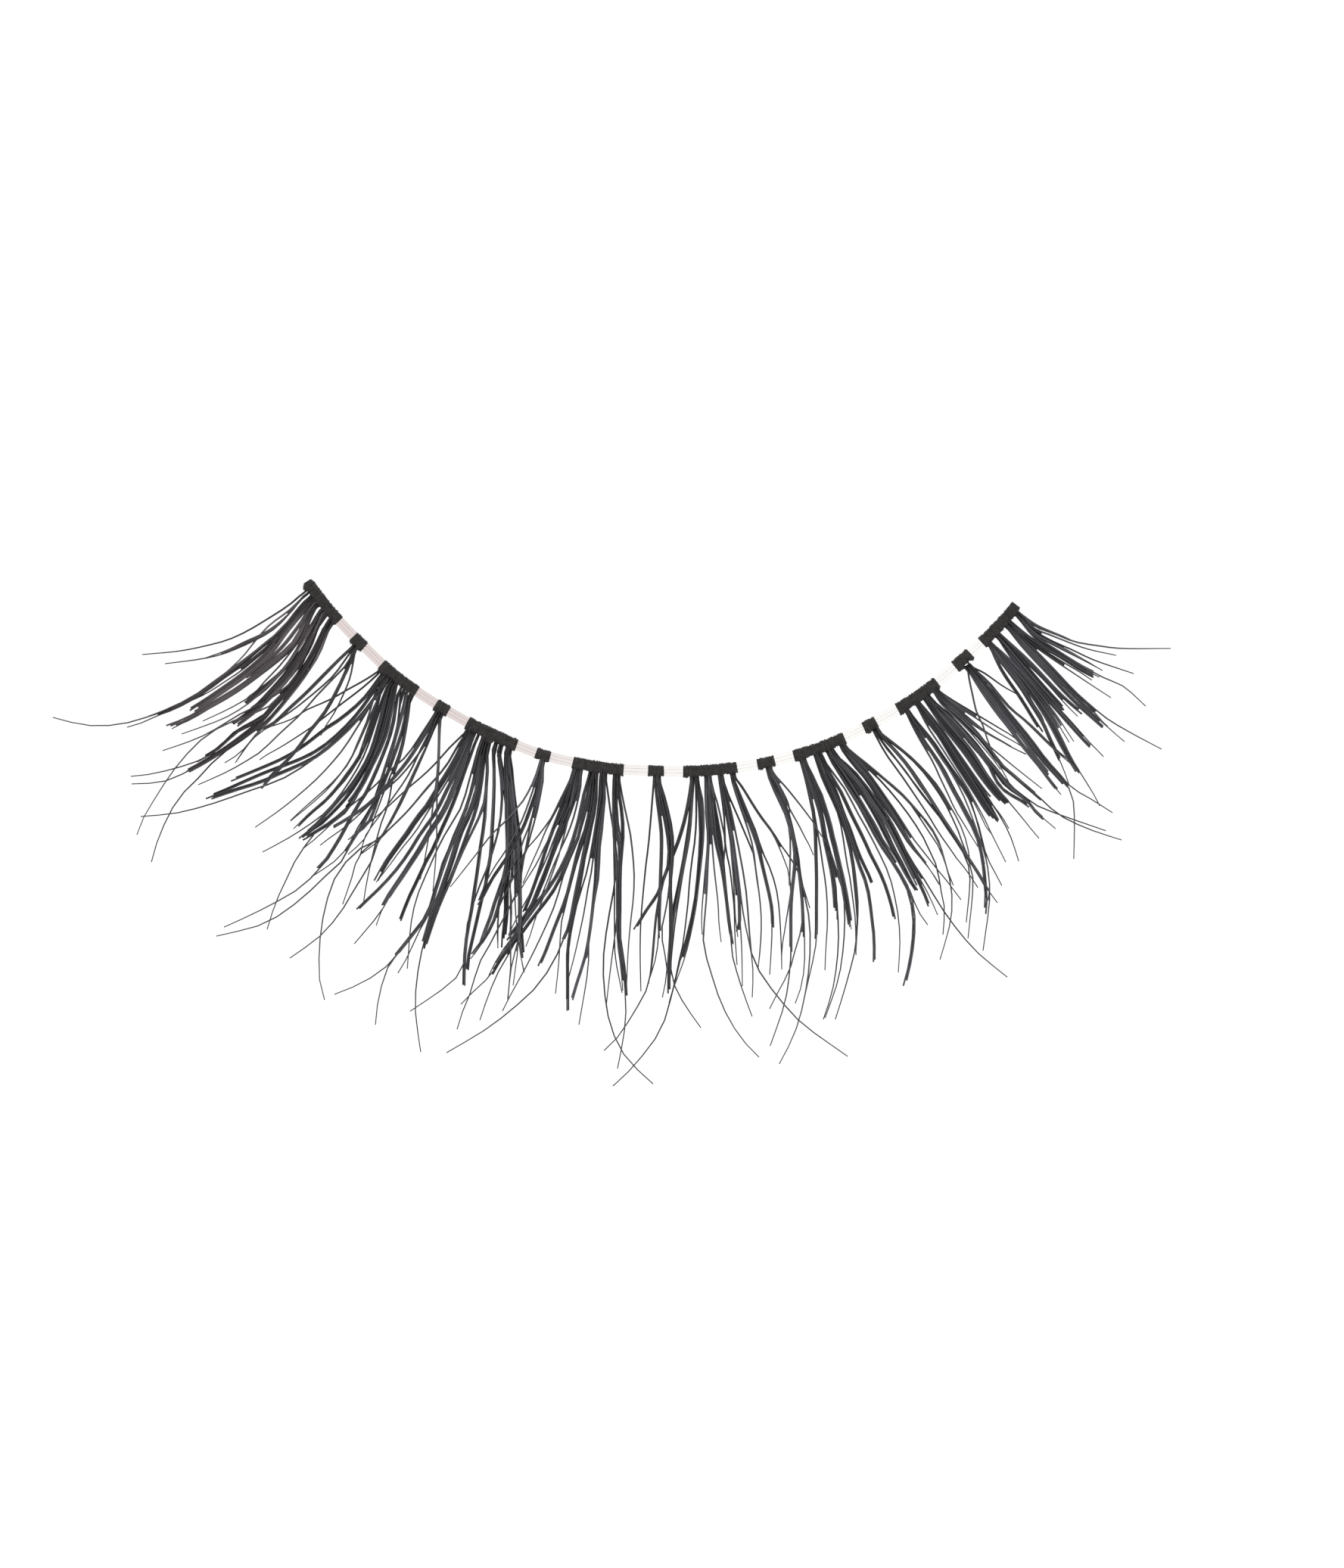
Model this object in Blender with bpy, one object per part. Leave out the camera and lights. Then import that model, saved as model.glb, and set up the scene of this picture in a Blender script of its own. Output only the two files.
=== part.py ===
"""False eyelash strip: clear threads, black thread knots and tufts of hair on one curved band.

Metres, +Z up. The strip lies on the flat undersides of its knots at Z = 0. The origin is under the
middle knot. The band curves round a centre on +Y, and the hair leaves it outwards, towards -Y.
"""

import math
from collections import namedtuple

import bmesh
import bpy
from mathutils import Vector

# The band: its length along the curve, and the radius that it is bent to.
BAND_LENGTH = 0.0334
BAND_RADIUS = 0.01815

# The clear threads that run side by side through every knot.
THREAD_COUNT = 3
THREAD_DIAMETER = 0.00012
THREAD_GAP = 0.00002
THREAD_END_INSET = 0.00006

# The black knots: long blocks, with one small knot midway between each two of them.
BLOCK_COUNT = 8
BLOCK_LENGTH = 0.0021
SINGLE_KNOT_LENGTH = 0.00062
KNOT_WIDTH = 0.00054
KNOT_HEIGHT = 0.00036
KNOT_CHAMFER = 0.00007
BORE_CHAMFER = 0.00004

# The gap from a thread to its bore, and from a knot's face to the tuft that leaves it.
THREAD_CLEARANCE = 0.00002
TUFT_CLEARANCE = 0.00003

# The tufts. Every lock is fused to a flat root strip that lies along the knot's outer face.
ROOT_STRIP_DEPTH = 0.00022
ROOT_STRIP_HEIGHT = 0.00018
ROOT_STRIP_MARGIN = 0.0001
ROOT_STRIP_CHAMFER = 0.000036

# The hair: one hair's width, how flat a lock of hairs lies, and the longest lock's reach in plan.
HAIR_DIAMETER = 0.00008
LOCK_FLATNESS = 0.5
TIP_SHARE = 0.35
LASH_REACH = 0.0128

# The curl: a lock dips to the surface at its belly, and then rises to its tip.
BELLY_REACH = 0.0026
CURL_RISE = 0.0050
CURL_POWER = 1.7
LAYER_STEP = 0.00026

# How finely the curves are divided.
BAND_STEPS = 40
BLOCK_STEPS = 3
SINGLE_KNOT_STEPS = 1
LOCK_STEPS = 7

# Points of a lock's mesh nearer than this are one point.
WELD_DISTANCE = 0.0000008

# Each lock leaves its knot at a seat, from -1 to 1 along the knot. It leans from straight outwards and
# turns by its sweep on the way to the tip, both in degrees, with +X positive. Its reach is a share of
# LASH_REACH, and hairs is how many lie side by side at its root.
Lock = namedtuple("Lock", "seat lean sweep reach hairs")

# Each tuft lies in its layer, so that one passes over the next where they cross.
Tuft = namedtuple("Tuft", "layer locks")

BLOCK_TUFTS = (
    Tuft(0, (
        Lock(-0.75, 5, -40, 0.55, 1),
        Lock(-0.60, 15, -40, 0.38, 3),
        Lock(-0.30, 17, -35, 0.66, 4),
        Lock(-0.30, 22, -66, 0.92, 1),
        Lock(-0.10, 28, -52, 0.60, 3),
        Lock(0.35, 30, -54, 0.60, 4),
        Lock(0.50, 8, 2, 0.90, 1),
        Lock(0.80, 34, -45, 0.56, 4),
        Lock(0.70, 32, -64, 0.82, 1),
    )),
    Tuft(0, (
        Lock(-0.80, -16, -4, 0.45, 2),
        Lock(-0.50, 0, -35, 0.66, 4),
        Lock(-0.40, 4, -52, 0.90, 1),
        Lock(-0.10, 31, -54, 0.58, 4),
        Lock(0.00, 11, 0, 0.88, 1),
        Lock(0.35, 31, -41, 0.56, 3),
        Lock(0.80, 36, -36, 0.46, 3),
        Lock(0.75, 37, -80, 1.00, 1),
    )),
    Tuft(0, (
        Lock(-0.85, -15, -6, 0.52, 3),
        Lock(-0.60, 3, -15, 0.64, 3),
        Lock(-0.10, 0, 10, 0.72, 4),
        Lock(-0.10, 17, -48, 0.95, 1),
        Lock(0.00, 0, 25, 1.00, 1),
        Lock(0.30, 23, -14, 0.74, 3),
        Lock(0.35, 35, -60, 0.90, 1),
        Lock(0.80, 27, -4, 0.68, 4),
    )),
    Tuft(0, (
        Lock(-0.80, -14, 3, 0.60, 4),
        Lock(-0.75, -12, 6, 0.93, 1),
        Lock(-0.20, -1, -25, 0.70, 4),
        Lock(-0.15, 14, -65, 1.00, 1),
        Lock(0.00, -2, 2, 0.68, 2),
        Lock(0.30, 0, 3, 0.74, 3),
        Lock(0.80, 8, 0, 0.68, 4),
        Lock(0.70, -8, 46, 1.00, 1),
        Lock(0.80, 11, -8, 0.93, 1),
    )),
    Tuft(0, (
        Lock(-0.75, -8, -20, 0.53, 3),
        Lock(-0.25, -3, -18, 0.72, 4),
        Lock(-0.20, 2, -47, 1.00, 1),
        Lock(-0.10, -2, 15, 0.76, 4),
        Lock(0.00, -6, 55, 1.00, 1),
        Lock(0.35, 8, -15, 0.68, 3),
        Lock(0.80, 21, -30, 0.62, 3),
        Lock(0.90, 31, -19, 0.48, 3),
    )),
    Tuft(0, (
        Lock(-0.75, 0, -20, 0.64, 4),
        Lock(-0.30, 2, -16, 0.56, 3),
        Lock(-0.20, 10, -55, 0.93, 1),
        Lock(0.20, 6, -17, 0.68, 4),
        Lock(0.30, 25, -60, 0.82, 1),
        Lock(0.80, 5, 8, 0.55, 4),
        Lock(0.80, 8, 12, 0.90, 1),
        Lock(0.95, 33, -58, 0.70, 2),
    )),
    Tuft(0, (
        Lock(-0.70, 4, -25, 0.68, 4),
        Lock(-0.20, -5, 8, 0.50, 3),
        Lock(0.20, -2, 9, 0.40, 4),
        Lock(0.35, 5, 4, 0.56, 3),
        Lock(0.80, -7, 42, 0.74, 2),
        Lock(0.90, 6, 20, 0.35, 3),
    )),
    Tuft(0, (
        Lock(-0.80, -12, 6, 0.38, 4),
        Lock(-0.60, -15, 0, 0.60, 1),
        Lock(-0.40, -8, 9, 0.46, 4),
        Lock(0.20, -10, 13, 0.46, 4),
        Lock(0.20, -11, 27, 0.60, 1),
        Lock(0.70, -12, 25, 0.36, 4),
        Lock(0.80, 0, 12, 0.48, 2),
        Lock(0.90, 4, 45, 0.48, 1),
    )),
)

SINGLE_TUFTS = (
    Tuft(1, (
        Lock(-0.40, -1, -5, 0.40, 2),
        Lock(0.40, 25, -30, 0.54, 3),
        Lock(0.00, 14, -37, 0.66, 1),
    )),
    Tuft(1, (
        Lock(-0.40, 3, -27, 0.43, 3),
        Lock(0.50, 28, -4, 0.52, 2),
        Lock(0.00, -8, 34, 0.98, 1),
    )),
    Tuft(1, (
        Lock(-0.50, -13, -13, 0.48, 2),
        Lock(0.40, 5, -15, 0.48, 3),
        Lock(0.00, 3, -14, 0.66, 1),
    )),
    Tuft(1, (
        Lock(-0.50, -5, 8, 0.68, 1),
        Lock(0.30, 10, -13, 0.60, 4),
        Lock(0.00, 15, -49, 0.90, 1),
    )),
    Tuft(1, (
        Lock(-0.40, 11, -21, 0.55, 3),
        Lock(0.60, 25, -5, 0.28, 2),
        Lock(0.10, 17, -60, 0.92, 1),
    )),
    Tuft(1, (
        Lock(-0.40, 5, 5, 0.46, 3),
        Lock(0.10, 30, -65, 0.72, 1),
        Lock(0.50, 17, -18, 0.66, 3),
    )),
    Tuft(1, (
        Lock(-0.60, -30, 22, 0.36, 1),
        Lock(-0.10, -8, 12, 0.46, 4),
        Lock(0.50, 14, -50, 0.68, 1),
    )),
)

BAND_CENTRE = Vector((0.0, BAND_RADIUS, 0.0))
BAND_ANGLE = BAND_LENGTH / BAND_RADIUS
BLOCK_ANGLE = BLOCK_LENGTH / BAND_RADIUS
SINGLE_KNOT_ANGLE = SINGLE_KNOT_LENGTH / BAND_RADIUS
BLOCK_PITCH = (BAND_ANGLE - BLOCK_ANGLE) / (BLOCK_COUNT - 1)
FIRST_BLOCK = -(BAND_ANGLE - BLOCK_ANGLE) / 2
THREAD_HEIGHT = KNOT_HEIGHT / 2
THREAD_PITCH = THREAD_DIAMETER + THREAD_GAP
THREADS_WIDTH = (THREAD_COUNT - 1) * THREAD_PITCH + THREAD_DIAMETER
BORE_WIDTH = THREADS_WIDTH + 2 * THREAD_CLEARANCE
BORE_HEIGHT = THREAD_DIAMETER + 2 * THREAD_CLEARANCE


def material(name, colour, roughness, alpha=1.0):
    """A plain material with the sub-part's colour and gloss."""
    made = bpy.data.materials.new(name)
    made.use_nodes = True
    shader = made.node_tree.nodes["Principled BSDF"]
    shader.inputs["Base Color"].default_value = (*colour, 1.0)
    shader.inputs["Roughness"].default_value = roughness
    shader.inputs["Metallic"].default_value = 0.0
    shader.inputs["Alpha"].default_value = alpha
    made.diffuse_color = (*colour, alpha)
    return made


def add_object(name, data, collection, made_of=None):
    """A new object that holds the mesh or curve."""
    made = bpy.data.objects.new(name, data)
    collection.objects.link(made)
    if made_of:
        data.materials.append(made_of)
    return made


def on_band(angle, outwards, height):
    """The point at an angle along the band, so far outwards from its middle line, at a height."""
    radius = BAND_RADIUS + outwards
    return BAND_CENTRE + Vector((radius * math.sin(angle), -radius * math.cos(angle), height))


def chamfered(width, height, chamfer):
    """The corners of a rectangle with cut corners, as (outwards, height) from its middle."""
    x = width / 2
    z = height / 2
    return (
        (x, -z + chamfer), (x, z - chamfer), (x - chamfer, z), (chamfer - x, z),
        (-x, z - chamfer), (-x, chamfer - z), (chamfer - x, -z), (x - chamfer, -z),
    )


def loop_of(bm, corners, angle):
    """A closed loop of edges across the band at an angle."""
    verts = [bm.verts.new(on_band(angle, outwards, THREAD_HEIGHT + height)) for outwards, height in corners]
    return [bm.edges.new((vert, verts[i - 1])) for i, vert in enumerate(verts)]


def sweep_along_band(name, section, start, angle, steps):
    """A mesh swept round the band's centre from a section of one loop, or of two with a bore between."""
    bm = bmesh.new()
    edges = [edge for corners in section for edge in loop_of(bm, corners, start)]
    if len(section) > 1:
        faces = bmesh.ops.bridge_loops(bm, edges=edges)["faces"]
    else:
        faces = bmesh.ops.contextual_create(bm, geom=edges)["faces"]
    bmesh.ops.spin(
        bm,
        geom=faces + edges,
        cent=BAND_CENTRE,
        axis=(0.0, 0.0, 1.0),
        angle=angle,
        steps=steps,
    )
    bmesh.ops.recalc_face_normals(bm, faces=bm.faces)
    mesh = bpy.data.meshes.new(name)
    bm.to_mesh(mesh)
    bm.free()
    return mesh


def make_thread(index, collection, made_of):
    """One clear thread, which runs through the knots from end to end."""
    outwards = (index - (THREAD_COUNT - 1) / 2) * THREAD_PITCH
    reach = BAND_ANGLE / 2 - THREAD_END_INSET / BAND_RADIUS
    curve = bpy.data.curves.new(f"thread_{index + 1}", "CURVE")
    curve.dimensions = "3D"
    curve.bevel_depth = THREAD_DIAMETER / 2
    curve.bevel_resolution = 1
    curve.use_fill_caps = True
    spline = curve.splines.new("POLY")
    spline.points.add(BAND_STEPS)
    for i, point in enumerate(spline.points):
        angle = reach * (2 * i / BAND_STEPS - 1)
        point.co = (*on_band(angle, outwards, THREAD_HEIGHT), 1.0)
    return add_object(f"thread_{index + 1}", curve, collection, made_of)


def make_knot(name, middle, angle, steps, collection, made_of):
    """A knot of wound thread, with a bore for the threads and a flat underside."""
    outer = chamfered(KNOT_WIDTH, KNOT_HEIGHT, KNOT_CHAMFER)
    bore = chamfered(BORE_WIDTH, BORE_HEIGHT, BORE_CHAMFER)
    mesh = sweep_along_band(name, (outer, bore), middle - angle / 2, angle, steps)
    return add_object(name, mesh, collection, made_of)


def make_profile(collection):
    """The cross-section that every lock shares: one wide, and flat, with thin edges."""
    curve = bpy.data.curves.new("lock_profile", "CURVE")
    curve.dimensions = "2D"
    spline = curve.splines.new("POLY")
    corners = ((0.5, 0.0), (0.0, LOCK_FLATNESS / 2), (-0.5, 0.0), (0.0, -LOCK_FLATNESS / 2))
    spline.points.add(len(corners) - 1)
    for point, (across, up) in zip(spline.points, corners):
        point.co = (across, up, 0.0, 1.0)
    spline.use_cyclic_u = True
    made = add_object("lock_profile", curve, collection)
    made.hide_render = True
    made.display_type = "WIRE"
    return made


def lock_height(travelled, lock, layer):
    """The height of a lock's middle line: down to its belly, and then up along the curl."""
    belly = lock.hairs * HAIR_DIAMETER * LOCK_FLATNESS / 2 + layer * LAYER_STEP
    if travelled < BELLY_REACH:
        return belly + (THREAD_HEIGHT - belly) * (1 - travelled / BELLY_REACH) ** 2
    along = (travelled - BELLY_REACH) / (LASH_REACH - BELLY_REACH)
    return belly + CURL_RISE * along ** CURL_POWER


def lock_points(lock, layer, middle, half_angle):
    """The points along a lock, from inside its root strip to its tip, each with its share of the way."""
    seat = middle + lock.seat * half_angle
    start = KNOT_WIDTH / 2 + TUFT_CLEARANCE + ROOT_STRIP_DEPTH / 2
    place = on_band(seat, start, 0.0)
    length = lock.reach * LASH_REACH
    stride = length / LOCK_STEPS
    points = []
    for i in range(LOCK_STEPS + 1):
        share = i / LOCK_STEPS
        points.append((Vector((place.x, place.y, lock_height(share * length, lock, layer))), share))
        mid_stride = share + 1 / (2 * LOCK_STEPS)
        heading = seat + math.radians(lock.lean + lock.sweep * mid_stride)
        place = place + stride * Vector((math.sin(heading), -math.cos(heading), 0.0))
    return points


def make_lock(name, lock, layer, middle, half_angle, profile, collection):
    """One tapered lock, as a closed mesh that is fused to its tuft."""
    curve = bpy.data.curves.new(name, "CURVE")
    curve.dimensions = "3D"
    curve.bevel_mode = "OBJECT"
    curve.bevel_object = profile
    curve.twist_mode = "Z_UP"
    curve.use_fill_caps = True
    spline = curve.splines.new("POLY")
    spline.points.add(LOCK_STEPS)
    for point, (place, share) in zip(spline.points, lock_points(lock, layer, middle, half_angle)):
        point.co = (*place, 1.0)
        point.radius = lock.hairs * HAIR_DIAMETER * (1 - (1 - TIP_SHARE) * share)
    tube = add_object(name, curve, collection)
    graph = bpy.context.evaluated_depsgraph_get()
    mesh = bpy.data.meshes.new_from_object(tube.evaluated_get(graph))
    bm = bmesh.new()
    bm.from_mesh(mesh)
    bmesh.ops.remove_doubles(bm, verts=bm.verts, dist=WELD_DISTANCE)
    bmesh.ops.recalc_face_normals(bm, faces=bm.faces)
    bm.to_mesh(mesh)
    bm.free()
    bpy.data.objects.remove(tube)
    made = add_object(name, mesh, collection)
    made.hide_render = True
    made.display_type = "WIRE"
    return made


def make_tuft(name, tuft, middle, knot_angle, steps, profile, collection, made_of):
    """A tuft: the root strip along the knot's outer face, with its locks fused on."""
    half_angle = knot_angle / 2 - ROOT_STRIP_MARGIN / BAND_RADIUS
    strip = [
        (outwards + KNOT_WIDTH / 2 + TUFT_CLEARANCE + ROOT_STRIP_DEPTH / 2, height)
        for outwards, height in chamfered(ROOT_STRIP_DEPTH, ROOT_STRIP_HEIGHT, ROOT_STRIP_CHAMFER)
    ]
    mesh = sweep_along_band(name, (strip,), middle - half_angle, 2 * half_angle, steps)
    made = add_object(name, mesh, collection, made_of)
    for i, lock in enumerate(tuft.locks):
        fused = make_lock(
            f"{name}_lock_{i + 1}", lock, tuft.layer, middle, half_angle, profile, profile.users_collection[0]
        )
        join = made.modifiers.new(f"Lock {i + 1}", "BOOLEAN")
        join.operation = "UNION"
        join.object = fused
    return made


def build():
    """Clears the scene and models the strip."""
    for old in list(bpy.data.objects):
        bpy.data.objects.remove(old)
    strip = bpy.data.collections.new("eyelash_strip")
    cutters = bpy.data.collections.new("fused_locks")
    bpy.context.scene.collection.children.link(strip)
    bpy.context.scene.collection.children.link(cutters)

    clear = material("clear_thread", (0.80, 0.74, 0.72), 0.25, 0.6)
    black = material("black_thread", (0.030, 0.028, 0.026), 0.85)
    hair = material("lash_hair", (0.032, 0.032, 0.038), 0.4)
    profile = make_profile(cutters)

    for index in range(THREAD_COUNT):
        make_thread(index, strip, clear)
    for index in range(BLOCK_COUNT):
        middle = FIRST_BLOCK + index * BLOCK_PITCH
        make_knot(f"knot_block_{index + 1}", middle, BLOCK_ANGLE, BLOCK_STEPS, strip, black)
        tuft = BLOCK_TUFTS[index % len(BLOCK_TUFTS)]
        make_tuft(f"tuft_block_{index + 1}", tuft, middle, BLOCK_ANGLE, BLOCK_STEPS, profile, strip, hair)
    for index in range(BLOCK_COUNT - 1):
        middle = FIRST_BLOCK + (index + 0.5) * BLOCK_PITCH
        make_knot(f"knot_single_{index + 1}", middle, SINGLE_KNOT_ANGLE, SINGLE_KNOT_STEPS, strip, black)
        tuft = SINGLE_TUFTS[index % len(SINGLE_TUFTS)]
        make_tuft(
            f"tuft_single_{index + 1}", tuft, middle, SINGLE_KNOT_ANGLE, SINGLE_KNOT_STEPS, profile, strip, hair
        )


build()
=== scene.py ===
"""False eyelash strip: the hair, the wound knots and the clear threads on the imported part.

Metres, +Z up, in the part's own frame: the strip lies on Z = 0, its band curves round a centre on +Y,
and the hair leaves it towards -Y. Places read from the photograph are in its pixels, X to the right
and Y down, and from_photo() turns them into plan points.
"""

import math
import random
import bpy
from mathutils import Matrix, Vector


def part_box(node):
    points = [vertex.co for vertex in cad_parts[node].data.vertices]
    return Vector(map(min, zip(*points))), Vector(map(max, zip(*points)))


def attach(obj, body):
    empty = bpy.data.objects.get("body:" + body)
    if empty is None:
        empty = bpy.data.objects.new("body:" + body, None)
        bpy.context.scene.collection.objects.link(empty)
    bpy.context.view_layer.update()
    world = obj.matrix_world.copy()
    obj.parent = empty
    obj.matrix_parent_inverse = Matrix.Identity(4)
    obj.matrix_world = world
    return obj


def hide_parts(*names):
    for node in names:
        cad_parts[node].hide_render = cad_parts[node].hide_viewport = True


bl_info = {
    "name": "False eyelash strip",
    "version": (1, 0, 0),
    "blender": (4, 5, 0),
    "location": "3D View > Sidebar > Eyelash",
    "description": "Hair, wound knots and clear threads of a false eyelash strip",
    "category": "Add Mesh",
}

from collections import namedtuple

import bmesh
import bpy
from bpy.props import FloatProperty, FloatVectorProperty, IntProperty, PointerProperty
from bpy.types import Operator, Panel, PropertyGroup
from mathutils import Matrix, Vector
from mathutils.geometry import interpolate_bezier

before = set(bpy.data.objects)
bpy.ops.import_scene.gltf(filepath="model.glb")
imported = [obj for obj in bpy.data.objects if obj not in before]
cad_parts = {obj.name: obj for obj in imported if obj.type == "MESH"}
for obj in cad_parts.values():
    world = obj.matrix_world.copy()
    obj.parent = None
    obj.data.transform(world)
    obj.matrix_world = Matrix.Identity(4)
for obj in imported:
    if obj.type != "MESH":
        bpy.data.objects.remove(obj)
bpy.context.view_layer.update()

# The photograph: its size, how large a pixel is on the strip, the middle of the band's curve, and how
# far the strip is turned in it.
PHOTO_WIDTH = 1776
PHOTO_HEIGHT = 2072
PIXEL = 0.0000308
ARC_CENTRE = Vector((886.4, 429.4))
PHOTO_TURN = math.radians(1.8)

# The camera looks straight down at the middle of the photograph.
LENS = 120.0
SENSOR = 36.0
CAMERA_HEIGHT = PHOTO_HEIGHT * PIXEL * LENS / SENSOR

# The band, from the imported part.
BAND_RADIUS = 0.01815
KNOT_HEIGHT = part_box("knot_block_1")[1].z
THREAD_HEIGHT = KNOT_HEIGHT / 2
THREAD_COUNT = 3

# The curl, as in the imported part: a hair dips to the surface at its belly, and then rises to its tip.
BELLY_REACH = 0.0026
LASH_REACH = 0.0128
CURL_RISE = 0.0050
CURL_POWER = 1.7

# How finely each shape is divided.
HAIR_SIDES = 4
HAIR_STEPS = 16
WRAP_SIDES = 5
WRAP_STEPS = 14
CORE_SIDES = 16
THREAD_SIDES = 12
THREAD_STEPS = 150
ROUTE_STEPS = 6
CORE_STEP = 0.0001

# A knot's cross section is squarer than a circle as these powers fall below one. Its core lies so many
# radii of the wound thread inside its surface.
ACROSS_POWER = 0.7
UP_POWER = 0.8
CORE_INSET = 1.2

# How far a turn slips along the knot, in turns, and how its thickness varies, as a share.
WRAP_DRIFT = 0.3
WRAP_SWELL = (0.7, 1.3)

# The fibres: their radius, the shortest and longest as shares of the set length, how much they lean, and
# the lowest height of a tip.
FIBRE_RADIUS = 0.000006
FIBRE_SHARE = (0.3, 1.0)
FIBRE_LEAN = 0.7
LOWEST_FIBRE = 0.00001

# The hairs: how far a route starts inside its knot and how far a hair sways, in pixels, how far roots are
# spread as a share of the knot's height, and how late a hair thins out.
ROOT_INSIDE = 10
SWAY = 0.3
ROOT_SPREAD = 0.3
THINNING_POWER = 1.5

# A strand's hairs: the shortest one's share of the route, how far one lies above the next in diameters,
# and the share of the way that short hairs fill between strands.
SHORTEST_REACH = 0.93
LIFT_STEP = 0.2
FILL_REACH = 0.86

# The knots from left to right: where each starts and ends on the band's middle line, its width, how far
# its outer edge bulges at each end, how far each end is rounded, and the height of a hump by its middle,
# all in pixels of the photograph.
Knot = namedtuple("Knot", "node left right width left_bulge right_bulge left_round right_round hump")
HUMP_PLACE = 0.46
HUMP_REACH = 8

KNOTS = (
    Knot("knot_block_1", (406, 768), (449, 821), 15.0, 3.5, 2.0, 7, 2, 0),
    Knot("knot_single_1", (467, 841), (483, 855), 15.5, 2.5, 2.0, 3, 3, 0),
    Knot("knot_block_2", (504, 878), (552, 914), 15.0, 3.5, 2.0, 3, 2, 0),
    Knot("knot_single_2", (576, 929), (593, 941), 15.5, 2.5, 1.0, 3, 3, 0),
    Knot("knot_block_3", (618, 954), (684, 985), 16.5, 2.5, 1.0, 2, 2, 5),
    Knot("knot_single_3", (708, 995), (728, 1000), 14.5, 0.5, 1.0, 2, 3, 0),
    Knot("knot_block_4", (756, 1008), (825, 1017), 16.0, 0.5, 1.5, 2, 2, 0),
    Knot("knot_single_4", (856, 1018), (878, 1019), 14.5, 0.5, 0.5, 2, 2, 0),
    Knot("knot_block_5", (902, 1019), (975, 1014), 15.5, 1.5, 0.5, 2, 2, 0),
    Knot("knot_single_5", (1000, 1009), (1024, 1006), 14.5, 1.5, 0.5, 2, 2, 0),
    Knot("knot_block_6", (1048, 999), (1117, 975), 15.5, 1.5, 2.0, 2, 2, 0),
    Knot("knot_single_6", (1140, 962), (1158, 953), 15.5, 3.0, 2.0, 3, 3, 0),
    Knot("knot_block_7", (1185, 938), (1239, 901), 16.0, 2.0, 2.0, 2, 3, 0),
    Knot("knot_single_7", (1260, 880), (1283, 863), 16.0, 3.0, 2.0, 3, 3, 0),
    Knot("knot_block_8", (1296, 849), (1345, 800), 16.0, 2.0, -1.5, 2, 4, 0),
)

# The hair, tuft by tuft. Each strand has so many hairs side by side, and passes the points of its route,
# from its root to its tip, in pixels of the photograph. Two or more hairs end bluntly, and one thins out.
Strand = namedtuple("Strand", "hairs route")

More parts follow.
